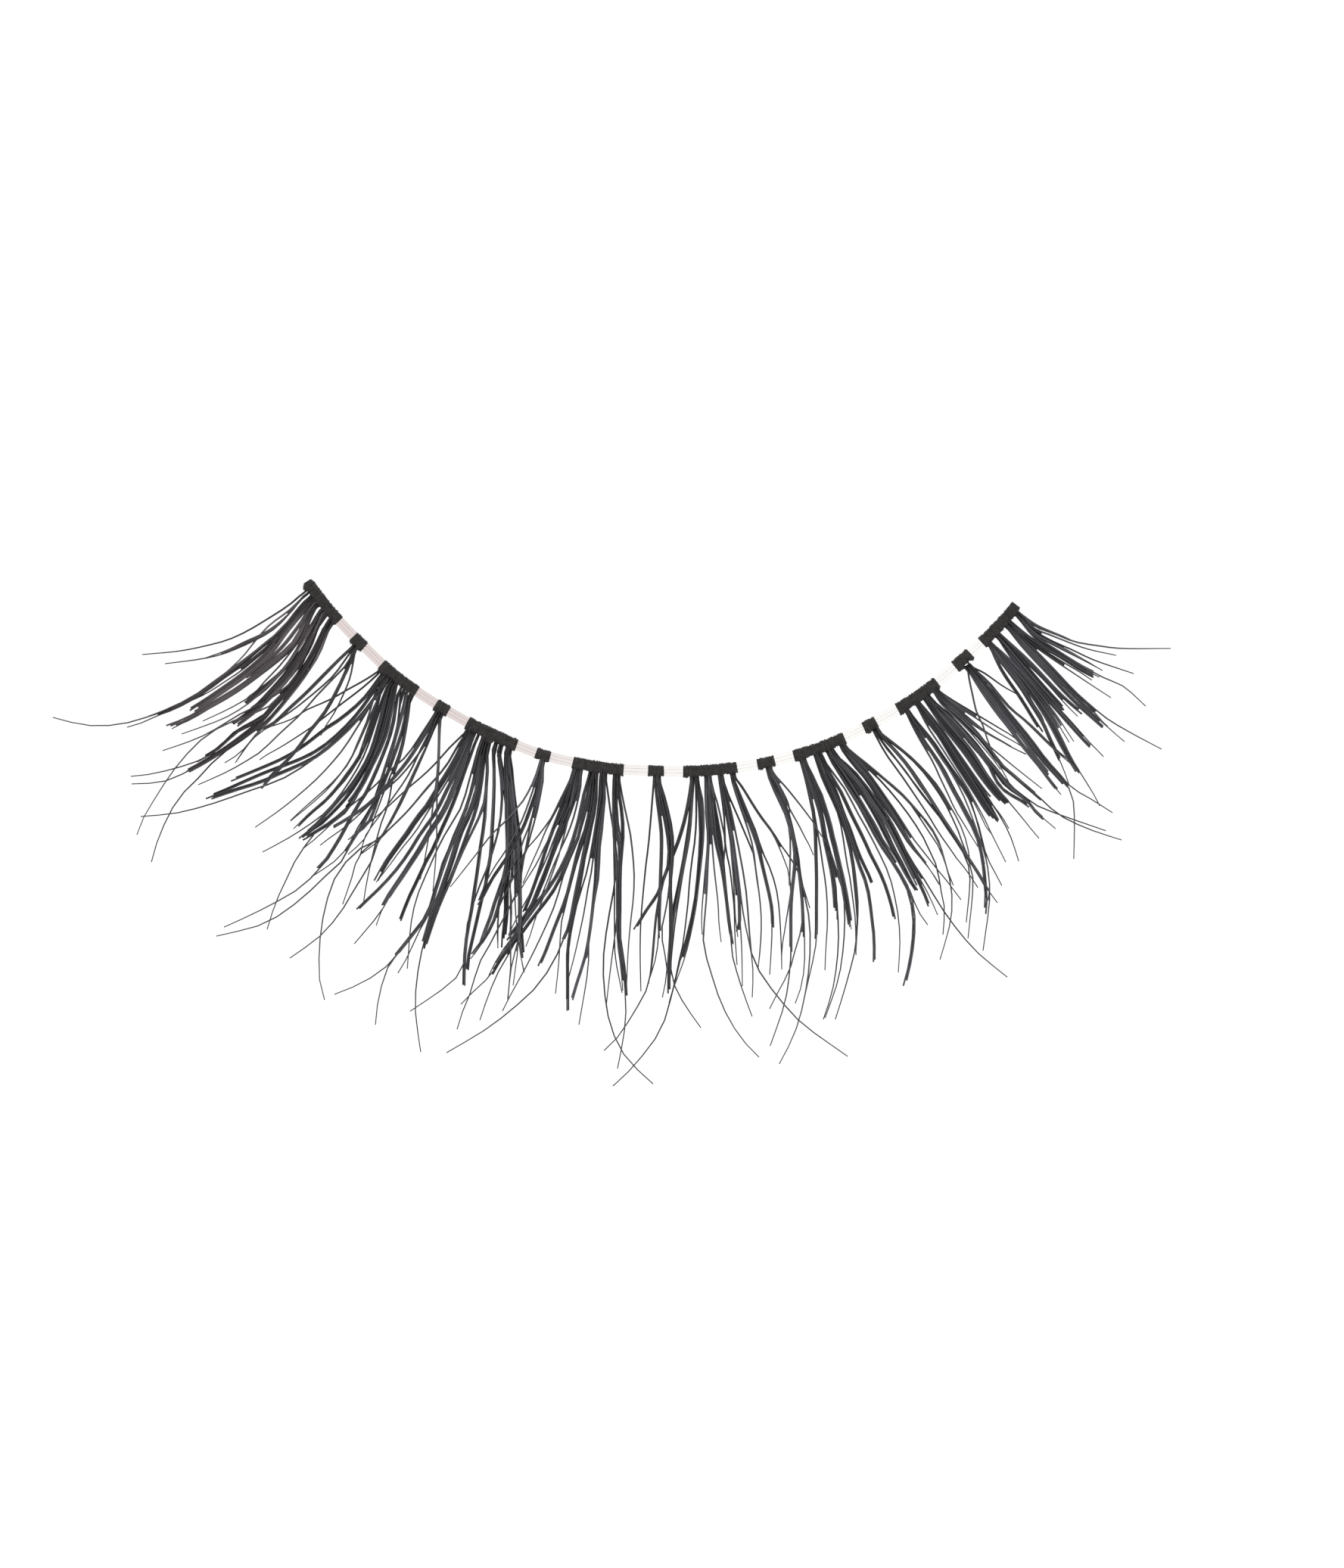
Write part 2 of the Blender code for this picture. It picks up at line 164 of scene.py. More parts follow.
STRANDS = {
    "tuft_block_1": (
        Strand(1, (
            (400, 784), (381, 800), (350, 820), (330, 832), (310, 842), (290, 849), (240, 860),
            (188, 865),
        )),
        Strand(1, ((401, 788), (385, 808), (370, 822), (350, 836), (323, 848), (300, 859), (269, 870))),
        Strand(1, ((401, 789), (370, 824), (350, 839), (300, 862), (269, 870), (218, 877))),
        Strand(1, (
            (402, 788), (383, 806), (355, 827), (337, 847), (321, 867), (300, 887), (285, 900),
            (270, 911),
        )),
        Strand(2, (
            (406, 792), (391, 809), (372, 833), (350, 851), (330, 868), (310, 885), (290, 899),
            (270, 914), (230, 936), (190, 950),
        )),
        Strand(1, (
            (405, 791), (370, 833), (330, 866), (290, 895), (250, 923), (190, 949), (150, 958),
            (112, 958), (70, 948),
        )),
        Strand(1, (
            (408, 794), (388, 815), (370, 838), (330, 873), (300, 893), (250, 927), (210, 945),
            (180, 958), (168, 961),
        )),
        Strand(1, (
            (409, 796), (391, 816), (372, 839), (350, 860), (335, 873), (318, 887), (300, 899),
            (285, 909), (270, 918), (255, 925),
        )),
        Strand(4, (
            (410, 797), (389, 820), (374, 838), (357, 861), (337, 880), (317, 896), (297, 910),
            (275, 925), (251, 940),
        )),
        Strand(2, (
            (412, 799), (400, 819), (391, 832), (382, 844), (370, 858), (355, 872), (338, 886),
            (318, 899),
        )),
        Strand(3, (
            (414, 800), (390, 847), (370, 867), (350, 883), (330, 899), (310, 913), (290, 925),
            (250, 949), (215, 963),
        )),
        Strand(1, (
            (415, 801), (392, 850), (371, 871), (351, 887), (310, 917), (270, 940), (250, 951),
            (227, 963),
        )),
        Strand(2, ((423, 807), (402, 843), (377, 882), (357, 901), (340, 914), (320, 929))),
        Strand(1, (
            (423, 809), (398, 843), (370, 879), (350, 900), (335, 917), (320, 927), (300, 938),
            (268, 953),
        )),
        Strand(1, (
            (424, 811), (398, 852), (380, 878), (363, 898), (350, 910), (330, 928), (300, 947),
            (268, 960), (240, 970),
        )),
        Strand(2, (
            (417, 803), (407, 824), (400, 843), (391, 862), (379, 880), (367, 893), (352, 909),
            (337, 921), (318, 932),
        )),
        Strand(3, (
            (425, 812), (413, 836), (404, 853), (391, 873), (378, 891), (366, 905), (352, 920),
            (338, 934), (322, 944),
        )),
        Strand(2, (
            (426, 812), (410, 855), (390, 886), (370, 908), (350, 925), (330, 940), (312, 953),
            (295, 963),
        )),
        Strand(2, (
            (426, 813), (412, 842), (401, 866), (388, 887), (375, 904), (360, 919), (345, 934),
            (325, 950), (303, 966),
        )),
        Strand(1, (
            (427, 813), (391, 893), (370, 914), (345, 930), (320, 942), (300, 954), (275, 969),
            (250, 980), (215, 992),
        )),
        Strand(1, (
            (428, 814), (390, 896), (370, 919), (350, 937), (320, 948), (290, 961), (262, 981),
            (230, 1017), (205, 1055), (190, 1080), (181, 1103),
        )),
        Strand(3, (
            (436, 824), (427, 846), (416, 864), (397, 891), (376, 917), (355, 940), (343, 955),
            (323, 971), (300, 988), (270, 1007), (250, 1018), (235, 1025),
        )),
        Strand(2, ((436, 818), (426, 836), (416, 856), (406, 874), (395, 891))),
        Strand(1, (
            (437, 824), (408, 880), (380, 919), (350, 954), (300, 988), (250, 1018), (215, 1033),
            (174, 1036),
        )),
        Strand(2, (
            (433, 821), (425, 846), (405, 879), (383, 909), (361, 935), (345, 948), (325, 959),
            (310, 968), (300, 978), (285, 991), (258, 1007),
        )),
        Strand(1, (
            (432, 820), (404, 880), (372, 922), (350, 948), (310, 970), (285, 993), (258, 1007),
            (205, 1022), (173, 1026),
        )),
        Strand(1, (
            (437, 824), (420, 866), (380, 922), (340, 963), (300, 991), (285, 1003), (260, 1030),
            (240, 1050), (222, 1078), (203, 1125), (200, 1139),
        )),
        Strand(1, (
            (438, 824), (420, 868), (390, 910), (357, 952), (340, 968), (325, 987), (310, 1000),
            (297, 1008),
        )),
        Strand(1, (
            (438, 825), (411, 882), (375, 931), (350, 959), (335, 975), (325, 988), (318, 998),
            (311, 1008),
        )),
    ),
    "tuft_single_1": (
        Strand(2, (
            (464, 857), (450, 870), (430, 890), (403, 917), (381, 937), (361, 956), (348, 963),
            (340, 968),
        )),
        Strand(1, (
            (466, 858), (443, 890), (430, 903), (410, 920), (390, 936), (360, 957), (340, 971),
            (325, 987), (311, 1008),
        )),
        Strand(1, (
            (467, 859), (463, 872), (437, 900), (417, 921), (397, 944), (370, 969), (345, 993),
            (325, 1006), (300, 1020), (262, 1037),
        )),
        Strand(2, (
            (468, 859), (460, 880), (449, 905), (430, 940), (411, 964), (390, 993), (375, 1009),
            (359, 1024), (350, 1037), (341, 1044),
        )),
        Strand(1, (
            (468, 860), (462, 880), (450, 903), (434, 933), (416, 959), (395, 988), (377, 1010),
            (360, 1027),
        )),
        Strand(1, ((470, 859), (467, 873), (462, 897), (449, 928), (440, 945), (430, 960), (424, 972))),
    ),
    "tuft_block_2": (
        Strand(1, (
            (500, 887), (480, 900), (460, 911), (435, 925), (403, 939), (390, 948), (370, 956),
            (340, 965),
        )),
        Strand(1, (
            (501, 889), (480, 908), (449, 932), (417, 957), (403, 967), (370, 988), (355, 996),
            (343, 1004),
        )),
        Strand(2, (
            (504, 892), (480, 924), (450, 950), (430, 963), (410, 979), (390, 993), (370, 1004),
            (335, 1019), (298, 1034),
        )),
        Strand(2, (
            (506, 895), (480, 933), (460, 957), (433, 982), (410, 997), (385, 1008), (355, 1019),
            (320, 1034), (300, 1043), (268, 1056),
        )),
        Strand(2, (
            (508, 897), (497, 919), (472, 951), (447, 976), (420, 998), (395, 1011), (367, 1023),
            (345, 1033), (310, 1044), (275, 1056),
        )),
        Strand(1, (
            (508, 898), (484, 938), (460, 965), (430, 991), (400, 1013), (375, 1028), (350, 1038),
            (320, 1048), (290, 1059), (235, 1074), (186, 1079),
        )),
        Strand(1, (
            (508, 900), (487, 937), (470, 965), (453, 991), (425, 1023), (400, 1046), (370, 1070),
            (337, 1093),
        )),
        Strand(1, (
            (511, 902), (495, 933), (484, 959), (460, 1009), (440, 1033), (425, 1047), (400, 1069),
            (384, 1084),
        )),
        Strand(1, (
            (513, 903), (500, 937), (484, 984), (468, 1014), (452, 1036), (433, 1055), (407, 1077),
            (388, 1095),
        )),
        Strand(2, (
            (515, 903), (500, 960), (487, 1000), (464, 1038), (450, 1054), (437, 1069),
            (415, 1092), (394, 1109),
        )),
        Strand(2, (
            (517, 904), (507, 950), (494, 990), (474, 1030), (455, 1057), (440, 1073), (425, 1088),
            (405, 1101), (394, 1110),
        )),
        Strand(1, (
            (514, 903), (498, 950), (480, 1000), (455, 1042), (430, 1073), (405, 1092),
            (380, 1108), (347, 1126),
        )),
        Strand(2, (
            (519, 905), (507, 955), (495, 993), (480, 1033), (460, 1066), (445, 1080), (430, 1091),
            (412, 1102), (396, 1111),
        )),
        Strand(1, (
            (520, 906), (505, 965), (485, 1025), (460, 1070), (430, 1094), (410, 1105),
            (401, 1121), (394, 1130), (385, 1148), (370, 1180), (365, 1190), (353, 1228),
        )),
        Strand(2, (
            (527, 912), (519, 960), (505, 1000), (484, 1047), (473, 1064), (462, 1083),
            (452, 1102), (440, 1122), (430, 1137), (414, 1153),
        )),
        Strand(1, (
            (527, 912), (515, 970), (495, 1025), (472, 1066), (453, 1101), (430, 1138),
            (400, 1170), (368, 1190), (333, 1208), (296, 1225),
        )),
        Strand(1, (
            (530, 913), (525, 960), (512, 1003), (500, 1040), (490, 1068), (476, 1088),
            (462, 1115), (445, 1136), (411, 1159),
        )),
        Strand(1, (
            (531, 913), (526, 955), (513, 1003), (495, 1060), (478, 1094), (462, 1118),
            (450, 1140), (425, 1162), (398, 1188), (350, 1220), (286, 1237),
        )),
        Strand(2, (
            (540, 919), (533, 960), (520, 1000), (505, 1040), (497, 1062), (490, 1082),
            (480, 1094), (470, 1101), (463, 1116), (456, 1130),
        )),
        Strand(1, (
            (541, 920), (536, 960), (526, 1000), (510, 1040), (497, 1075), (487, 1100),
            (478, 1113), (460, 1129),
        )),
        Strand(1, (
            (543, 921), (540, 944), (531, 993), (520, 1025), (513, 1062), (503, 1090), (490, 1140),
            (483, 1175), (480, 1195),
        )),
        Strand(1, (
            (503, 892), (493, 925), (484, 955), (474, 978), (465, 1000), (452, 1020), (436, 1040),
            (418, 1057), (400, 1072), (384, 1085),
        )),
        Strand(2, (
            (507, 894), (501, 920), (494, 944), (488, 962), (482, 980), (475, 1000), (461, 1020),
            (447, 1039), (430, 1058), (410, 1075), (389, 1096),
        )),
        Strand(3, (
            (523, 904), (519, 925), (514, 948), (509, 970), (500, 993), (490, 1013), (481, 1032),
            (470, 1050), (457, 1066),
        )),
        Strand(2, ((538, 913), (533, 935), (527, 958), (521, 980), (516, 1000), (511, 1020))),
    ),
    "tuft_single_2": (
        Strand(1, (
            (573, 945), (560, 965), (537, 999), (512, 1021), (500, 1034), (480, 1052), (460, 1068),
            (438, 1089), (415, 1110), (401, 1121),
        )),
        Strand(2, (
            (576, 947), (560, 973), (536, 1009), (513, 1036), (500, 1050), (485, 1064),
            (462, 1080), (440, 1093), (428, 1100),
        )),
        Strand(1, (
            (577, 948), (567, 975), (548, 1003), (527, 1028), (507, 1046), (490, 1062),
            (474, 1077), (456, 1093), (440, 1104), (423, 1117),
        )),
        Strand(1, (
            (579, 948), (567, 979), (551, 1012), (535, 1046), (520, 1077), (505, 1104),
            (497, 1118), (490, 1140), (471, 1170), (455, 1198), (425, 1235), (383, 1266),
        )),
        Strand(1, (
            (581, 946), (580, 975), (579, 1005), (577, 1030), (572, 1065), (568, 1095),
            (562, 1130), (558, 1150), (555, 1162),
        )),
        Strand(1, (
            (583, 946), (581, 975), (580, 1010), (578, 1040), (577, 1075), (577, 1110),
            (575, 1145), (572, 1178),
        )),
        Strand(1, (
            (580, 948), (560, 995), (540, 1040), (520, 1080), (500, 1110), (470, 1125),
            (440, 1165), (430, 1200), (424, 1230), (422, 1290), (429, 1321),
        )),
        Strand(1, (
            (578, 948), (556, 990), (540, 1023), (522, 1050), (500, 1080), (481, 1108),
            (478, 1126), (476, 1130),
        )),
    ),
    "tuft_block_3": (
        Strand(1, (
            (616, 966), (605, 977), (590, 992), (580, 1004), (560, 1024), (540, 1041), (515, 1064),
            (497, 1080), (480, 1093), (460, 1110),
        )),
        Strand(1, (
            (617, 967), (605, 985), (592, 1008), (578, 1026), (565, 1040), (540, 1070),
            (515, 1095), (498, 1113), (475, 1130),
        )),
        Strand(1, (
            (617, 968), (603, 989), (590, 1011), (565, 1041), (530, 1081), (505, 1104),
            (475, 1130), (465, 1160), (453, 1195),
        )),
        Strand(3, (
            (619, 970), (612, 983), (602, 1003), (590, 1024), (576, 1046), (566, 1063),
            (550, 1083), (541, 1097), (524, 1120), (510, 1140), (496, 1165),
        )),
        Strand(1, (
            (621, 971), (612, 992), (601, 1014), (590, 1034), (578, 1053), (565, 1073),
            (549, 1099), (531, 1121), (515, 1143), (497, 1166),
        )),
        Strand(2, (
            (622, 972), (613, 997), (602, 1021), (590, 1045), (575, 1075), (556, 1101),
            (543, 1122), (527, 1145), (505, 1170), (478, 1196), (463, 1211),
        )),
        Strand(3, (
            (624, 974), (618, 992), (610, 1016), (600, 1040), (592, 1060), (580, 1082),
            (566, 1102), (556, 1120), (543, 1140), (530, 1160), (515, 1182), (505, 1200),
        )),
        Strand(1, (
            (625, 974), (618, 1000), (608, 1026), (596, 1056), (570, 1097), (543, 1141),
            (520, 1175), (505, 1202), (497, 1223),
        )),
        Strand(1, (
            (624, 974), (616, 1000), (605, 1028), (590, 1062), (566, 1103), (540, 1145),
            (516, 1182), (502, 1206), (468, 1247),
        )),
        Strand(2, (
            (629, 978), (622, 998), (613, 1022), (604, 1048), (594, 1073), (583, 1097),
            (572, 1122), (562, 1140), (553, 1160), (540, 1187), (528, 1218),
        )),
        Strand(1, (
            (634, 981), (629, 1000), (622, 1025), (616, 1047), (612, 1062), (602, 1080),
            (588, 1103), (580, 1118), (567, 1147), (551, 1185), (543, 1220), (538, 1280),
        )),
        Strand(2, (
            (636, 982), (631, 1003), (627, 1025), (622, 1048), (612, 1078), (602, 1100),
            (594, 1122), (586, 1140), (580, 1162), (573, 1183), (565, 1208), (545, 1235),
            (525, 1260), (512, 1276),
        )),
        Strand(1, (
            (637, 983), (632, 1008), (624, 1045), (606, 1094), (590, 1136), (578, 1172),
            (566, 1210), (540, 1242), (513, 1275), (480, 1298), (442, 1314),
        )),
        Strand(1, (
            (638, 984), (632, 1015), (622, 1052), (604, 1100), (588, 1142), (574, 1185),
            (563, 1213), (535, 1248), (513, 1277), (500, 1320), (496, 1354),
        )),
        Strand(3, (
            (639, 985), (636, 1005), (633, 1025), (629, 1050), (618, 1080), (608, 1101),
            (602, 1120), (596, 1140), (589, 1160), (582, 1180), (572, 1205), (566, 1225),
            (560, 1245), (557, 1263),
        )),
        Strand(1, (
            (640, 986), (634, 1025), (622, 1075), (606, 1112), (594, 1145), (583, 1182),
            (570, 1212), (558, 1255), (551, 1295), (549, 1335), (556, 1390),
        )),
        Strand(2, (
            (641, 987), (639, 1010), (636, 1035), (631, 1062), (624, 1085), (617, 1103),
            (611, 1120), (603, 1142), (592, 1170), (585, 1185), (577, 1205), (570, 1225),
            (558, 1262),
        )),
        Strand(1, (
            (642, 987), (643, 1020), (641, 1047), (637, 1068), (622, 1102), (608, 1130),
            (598, 1155), (588, 1177), (575, 1195), (553, 1233), (540, 1262), (526, 1286),
        )),
        Strand(1, (
            (643, 988), (644, 1020), (642, 1048), (637, 1072), (624, 1100), (612, 1125),
            (603, 1146), (594, 1166), (584, 1188),
        )),
        Strand(2, (
            (644, 988), (644, 1020), (642, 1047), (641, 1075), (638, 1100), (634, 1125),
            (631, 1150), (627, 1175), (623, 1203), (617, 1235), (614, 1265), (613, 1303),
        )),
        Strand(1, (
            (651, 989), (652, 1020), (651, 1060), (649, 1095), (648, 1120), (645, 1145),
            (643, 1166),
        )),
        Strand(2, (
            (653, 989), (653, 1030), (652, 1065), (650, 1100), (649, 1125), (645, 1148),
            (641, 1172), (636, 1190), (631, 1212), (625, 1238), (619, 1265), (617, 1294),
        )),
        Strand(1, (
            (657, 990), (661, 1020), (663, 1050), (662, 1075), (658, 1100), (652, 1120),
            (645, 1145), (637, 1162), (627, 1190), (618, 1218), (614, 1260), (612, 1280),
            (590, 1303), (542, 1336),
        )),
        Strand(1, (
            (658, 990), (661, 1015), (664, 1040), (663, 1070), (659, 1098), (653, 1120),
            (646, 1142), (633, 1172), (625, 1196), (620, 1212),
        )),
        Strand(3, (
            (659, 991), (662, 1012), (667, 1038), (670, 1060), (672, 1080), (672, 1105),
            (672, 1130), (671, 1150), (669, 1175), (669, 1205), (666, 1235), (665, 1253),
        )),
        Strand(1, (
            (661, 991), (665, 1030), (669, 1060), (670, 1110), (668, 1150), (663, 1180),
            (659, 1205), (658, 1253),
        )),
        Strand(3, (
            (669, 992), (670, 1012), (674, 1038), (677, 1060), (679, 1085), (683, 1110),
            (684, 1140), (683, 1170), (683, 1195),
        )),
        Strand(1, (
            (669, 992), (669, 1018), (673, 1045), (676, 1070), (677, 1095), (676, 1120),
            (676, 1150), (674, 1175), (675, 1205), (674, 1240), (675, 1275), (671, 1320),
        )),
        Strand(1, (
            (670, 992), (672, 1030), (677, 1065), (680, 1100), (680, 1140), (680, 1175),
            (681, 1205), (684, 1235), (688, 1262), (692, 1283),
        )),
        Strand(2, (
            (673, 992), (676, 1015), (678, 1040), (681, 1065), (684, 1088), (687, 1110),
            (688, 1140), (687, 1175), (687, 1200), (689, 1230), (692, 1270),
        )),
        Strand(1, (
            (668, 992), (667, 1020), (668, 1050), (668, 1080), (669, 1110), (669, 1140),
            (673, 1165), (676, 1195), (675, 1230), (675, 1280),
        )),
        Strand(2, (
            (668, 988), (670, 1030), (672, 1080), (671, 1120), (668, 1150), (661, 1172),
            (654, 1192), (648, 1212), (641, 1230), (634, 1249), (620, 1266),
        )),
        Strand(2, (
            (669, 988), (672, 1050), (673, 1110), (669, 1150), (664, 1175), (659, 1195),
            (653, 1215), (645, 1232), (636, 1246),
        )),
        Strand(1, (
            (668, 988), (671, 1060), (670, 1120), (664, 1165), (660, 1195), (657, 1225),
            (658, 1253),
        )),
        Strand(1, (
            (672, 988), (678, 1050), (683, 1110), (685, 1170), (685, 1220), (684, 1255),
            (681, 1280), (678, 1302),
        )),
        Strand(1, (
            (671, 988), (680, 1090), (686, 1170), (687, 1230), (681, 1256), (676, 1276),
            (673, 1300), (671, 1322),
        )),
        Strand(1, (
            (672, 988), (680, 1060), (686, 1130), (689, 1200), (687, 1245), (689, 1268),
            (693, 1285),
        )),
    ),
    "tuft_single_3": (
        Strand(1, (
            (714, 1006), (708, 1025), (700, 1043), (690, 1060), (683, 1068), (668, 1085),
            (650, 1102), (632, 1125), (610, 1153), (595, 1172),
        )),
        Strand(1, (
            (715, 1006), (710, 1026), (704, 1045), (697, 1065), (690, 1083), (680, 1103),
            (668, 1124), (655, 1143), (642, 1166), (632, 1190),
        )),
        Strand(2, (
            (716, 1006), (712, 1030), (708, 1048), (702, 1065), (695, 1085), (686, 1105),
            (675, 1125), (663, 1143), (650, 1162), (638, 1185), (629, 1197),
        )),
        Strand(1, (
            (717, 1006), (714, 1035), (710, 1052), (705, 1072), (698, 1095), (691, 1112),
            (683, 1135), (670, 1155), (659, 1180), (651, 1198), (647, 1217), (635, 1248),
        )),
        Strand(1, (
            (718, 1006), (717, 1035), (713, 1055), (709, 1075), (702, 1100), (697, 1120),
            (690, 1137), (680, 1157), (668, 1180), (657, 1205), (650, 1222), (640, 1242),
            (622, 1267),
        )),
        Strand(1, (
            (716, 1004), (709, 1050), (700, 1095), (692, 1135), (686, 1170), (678, 1190),
            (669, 1207), (660, 1223), (654, 1236), (645, 1252), (634, 1271), (630, 1280),
            (626, 1297), (621, 1313), (615, 1329), (608, 1344), (604, 1360),
        )),
    ),
    "tuft_block_4": (
        Strand(1, (
            (757, 1022), (750, 1038), (740, 1058), (729, 1080), (722, 1090), (708, 1108),
            (698, 1119), (689, 1133), (685, 1145),
        )),
        Strand(1, (
            (759, 1022), (755, 1040), (748, 1060), (741, 1079), (730, 1100), (719, 1120),
            (709, 1141), (697, 1160), (690, 1172), (682, 1185),
        )),
        Strand(1, (
            (760, 1022), (757, 1042), (752, 1063), (740, 1090), (732, 1109), (724, 1130),
            (715, 1150), (706, 1170), (695, 1190), (684, 1210), (672, 1235),
        )),
        Strand(2, (
            (762, 1022), (760, 1040), (755, 1060), (748, 1080), (741, 1100), (734, 1120),
            (726, 1140), (719, 1160), (710, 1183), (698, 1206), (684, 1231), (672, 1250),
        )),
        Strand(2, (
            (765, 1022), (764, 1040), (757, 1063), (749, 1084), (741, 1104), (733, 1122),
            (725, 1144), (718, 1163), (707, 1187), (695, 1208), (680, 1228), (668, 1243),
        )),
        Strand(1, (
            (768, 1022), (767, 1040), (763, 1060), (758, 1080), (751, 1100), (742, 1120),
            (733, 1140), (725, 1160), (717, 1180), (708, 1199), (697, 1216),
        )),
        Strand(2, (
            (780, 1022), (775, 1037), (770, 1057), (766, 1077), (761, 1097), (755, 1117),
            (746, 1137), (734, 1160), (719, 1182), (706, 1200), (690, 1222), (672, 1250),
            (660, 1268), (648, 1288),
        )),
        Strand(1, (
            (779, 1023), (771, 1047), (767, 1070), (760, 1095), (752, 1120), (743, 1140),
            (729, 1165), (710, 1190), (693, 1212), (676, 1240), (660, 1262), (646, 1289),
        )),
        Strand(2, (
            (782, 1022), (779, 1040), (774, 1060), (770, 1080), (766, 1100), (760, 1117),
            (752, 1134), (744, 1152), (733, 1174), (718, 1195), (702, 1215), (684, 1240),
            (668, 1257), (648, 1290),
        )),
        Strand(1, (
            (783, 1022), (777, 1060), (768, 1095), (756, 1128), (744, 1158), (735, 1190),
            (722, 1222), (703, 1262), (690, 1287), (676, 1312), (664, 1336),
        )),
        Strand(2, (
            (784, 1022), (783, 1040), (779, 1070), (774, 1095), (765, 1120), (760, 1140),
            (755, 1160), (750, 1180), (743, 1200), (733, 1225), (719, 1262), (708, 1285),
        )),
        Strand(1, (
            (785, 1022), (784, 1050), (780, 1078), (772, 1110), (764, 1133), (758, 1155),
            (752, 1177), (747, 1198), (742, 1218), (740, 1245), (738, 1275), (734, 1313),
        )),
        Strand(2, (
            (786, 1022), (787, 1045), (783, 1068), (778, 1090), (775, 1110), (771, 1130),
            (766, 1155), (761, 1178), (756, 1203), (751, 1226), (741, 1248),
        )),
        Strand(1, (
            (787, 1022), (786, 1055), (780, 1085), (774, 1115), (766, 1150), (758, 1190),
            (752, 1220), (741, 1250), (730, 1273), (712, 1300), (690, 1322), (645, 1358),
            (590, 1391),
        )),
        Strand(2, (
            (788, 1024), (788, 1050), (785, 1075), (780, 1097), (776, 1117), (771, 1138),
            (768, 1158), (764, 1180), (760, 1200), (754, 1228), (750, 1258), (750, 1290),
            (750, 1336),
        )),
        Strand(1, (
            (793, 1022), (792, 1050), (789, 1078), (785, 1102), (781, 1126), (776, 1150),
            (770, 1170), (764, 1190), (757, 1215), (752, 1240), (749, 1270), (749, 1336),
        )),
        Strand(1, (
            (794, 1022), (795, 1048), (792, 1073), (788, 1100), (785, 1124), (782, 1150),
            (777, 1175), (773, 1200), (769, 1220), (760, 1260), (751, 1294),
        )),
        Strand(2, (
            (796, 1022), (797, 1045), (796, 1065), (793, 1087), (790, 1110), (788, 1135),
            (787, 1160), (785, 1182), (782, 1210), (778, 1240), (773, 1265), (762, 1300),
            (755, 1324),
        )),
        Strand(1, (
            (798, 1022), (800, 1045), (798, 1070), (796, 1095), (793, 1118), (792, 1142),
            (790, 1168), (786, 1187), (782, 1213), (778, 1245), (777, 1280), (765, 1354),
        )),
        Strand(1, (
            (797, 1022), (793, 1060), (787, 1090), (784, 1110), (786, 1130), (786, 1155),
            (784, 1178), (783, 1200),
        )),
        Strand(1, (
            (800, 1022), (803, 1045), (807, 1075), (811, 1100), (814, 1122), (816, 1145),
            (815, 1180), (815, 1215), (812, 1240), (808, 1270), (804, 1303), (801, 1330),
        )),
        Strand(2, (
            (812, 1022), (811, 1045), (812, 1070), (814, 1095), (818, 1115), (819, 1138),
            (817, 1165), (817, 1200), (817, 1238), (820, 1260), (823, 1285), (824, 1310),
        )),
        Strand(1, (
            (811, 1022), (810, 1045), (810, 1075), (810, 1097), (812, 1120), (815, 1140),
            (815, 1170), (815, 1205), (816, 1245), (820, 1275), (823, 1309),
        )),
        Strand(2, (
            (815, 1022), (817, 1045), (820, 1062), (822, 1080), (823, 1097), (822, 1117),
            (820, 1135), (819, 1165), (819, 1200), (819, 1240), (823, 1265), (826, 1290),
            (828, 1322),
        )),
        Strand(1, (
            (816, 1022), (815, 1060), (817, 1090), (821, 1110), (820, 1135), (818, 1180),
            (819, 1235), (824, 1275), (826, 1310), (827, 1340), (824, 1370), (816, 1412),
        )),
        Strand(1, (
            (812, 1024), (812, 1090), (814, 1140), (813, 1163), (808, 1190), (802, 1225),
            (798, 1255), (797, 1285), (801, 1328), (809, 1362), (828, 1398), (863, 1432),
        )),
        Strand(1, (
            (818, 1024), (822, 1050), (827, 1074), (833, 1102), (836, 1128), (838, 1155),
            (837, 1185), (833, 1220), (830, 1255), (828, 1300),
        )),
        Strand(1, (
            (760, 1014), (745, 1080), (728, 1130), (712, 1170), (700, 1200), (690, 1225),
            (680, 1247), (668, 1268), (657, 1287), (650, 1303), (644, 1319), (638, 1335),
            (634, 1348),
        )),
        Strand(1, (
            (762, 1014), (742, 1085), (722, 1145), (700, 1200), (683, 1237), (663, 1268),
            (648, 1288), (638, 1299), (628, 1308), (618, 1317), (609, 1327),
        )),
        Strand(2, (
            (759, 1014), (748, 1050), (735, 1085), (722, 1120), (712, 1152), (705, 1172),
            (699, 1188), (692, 1206),
        )),
        Strand(1, (
            (758, 1014), (752, 1035), (744, 1053), (733, 1075), (722, 1096), (712, 1120),
            (702, 1142), (691, 1167),
        )),
        Strand(1, (
            (763, 1014), (752, 1075), (738, 1130), (722, 1175), (708, 1212), (701, 1235),
            (695, 1251),
        )),
        Strand(1, ((811, 1024), (811, 1100), (812, 1170), (812, 1230), (813, 1265), (822, 1312))),
    ),
    "tuft_single_4": (
        Strand(1, (
            (864, 1028), (862, 1055), (860, 1080), (857, 1115), (853, 1148), (850, 1180),
            (847, 1215), (846, 1260), (847, 1310),
        )),
        Strand(2, (
            (866, 1028), (868, 1052), (871, 1075), (874, 1100), (874, 1125), (873, 1155),
            (872, 1185), (871, 1215), (872, 1240),
        )),
        Strand(1, (
            (867, 1028), (870, 1058), (873, 1083), (875, 1110), (874, 1145), (873, 1175),
            (868, 1200), (865, 1225), (862, 1260), (860, 1280), (857, 1300),
        )),
        Strand(1, (
            (868, 1028), (873, 1060), (878, 1085), (882, 1110), (883, 1135), (878, 1160),
            (874, 1178), (871, 1205), (870, 1240), (866, 1268), (855, 1303),
        )),
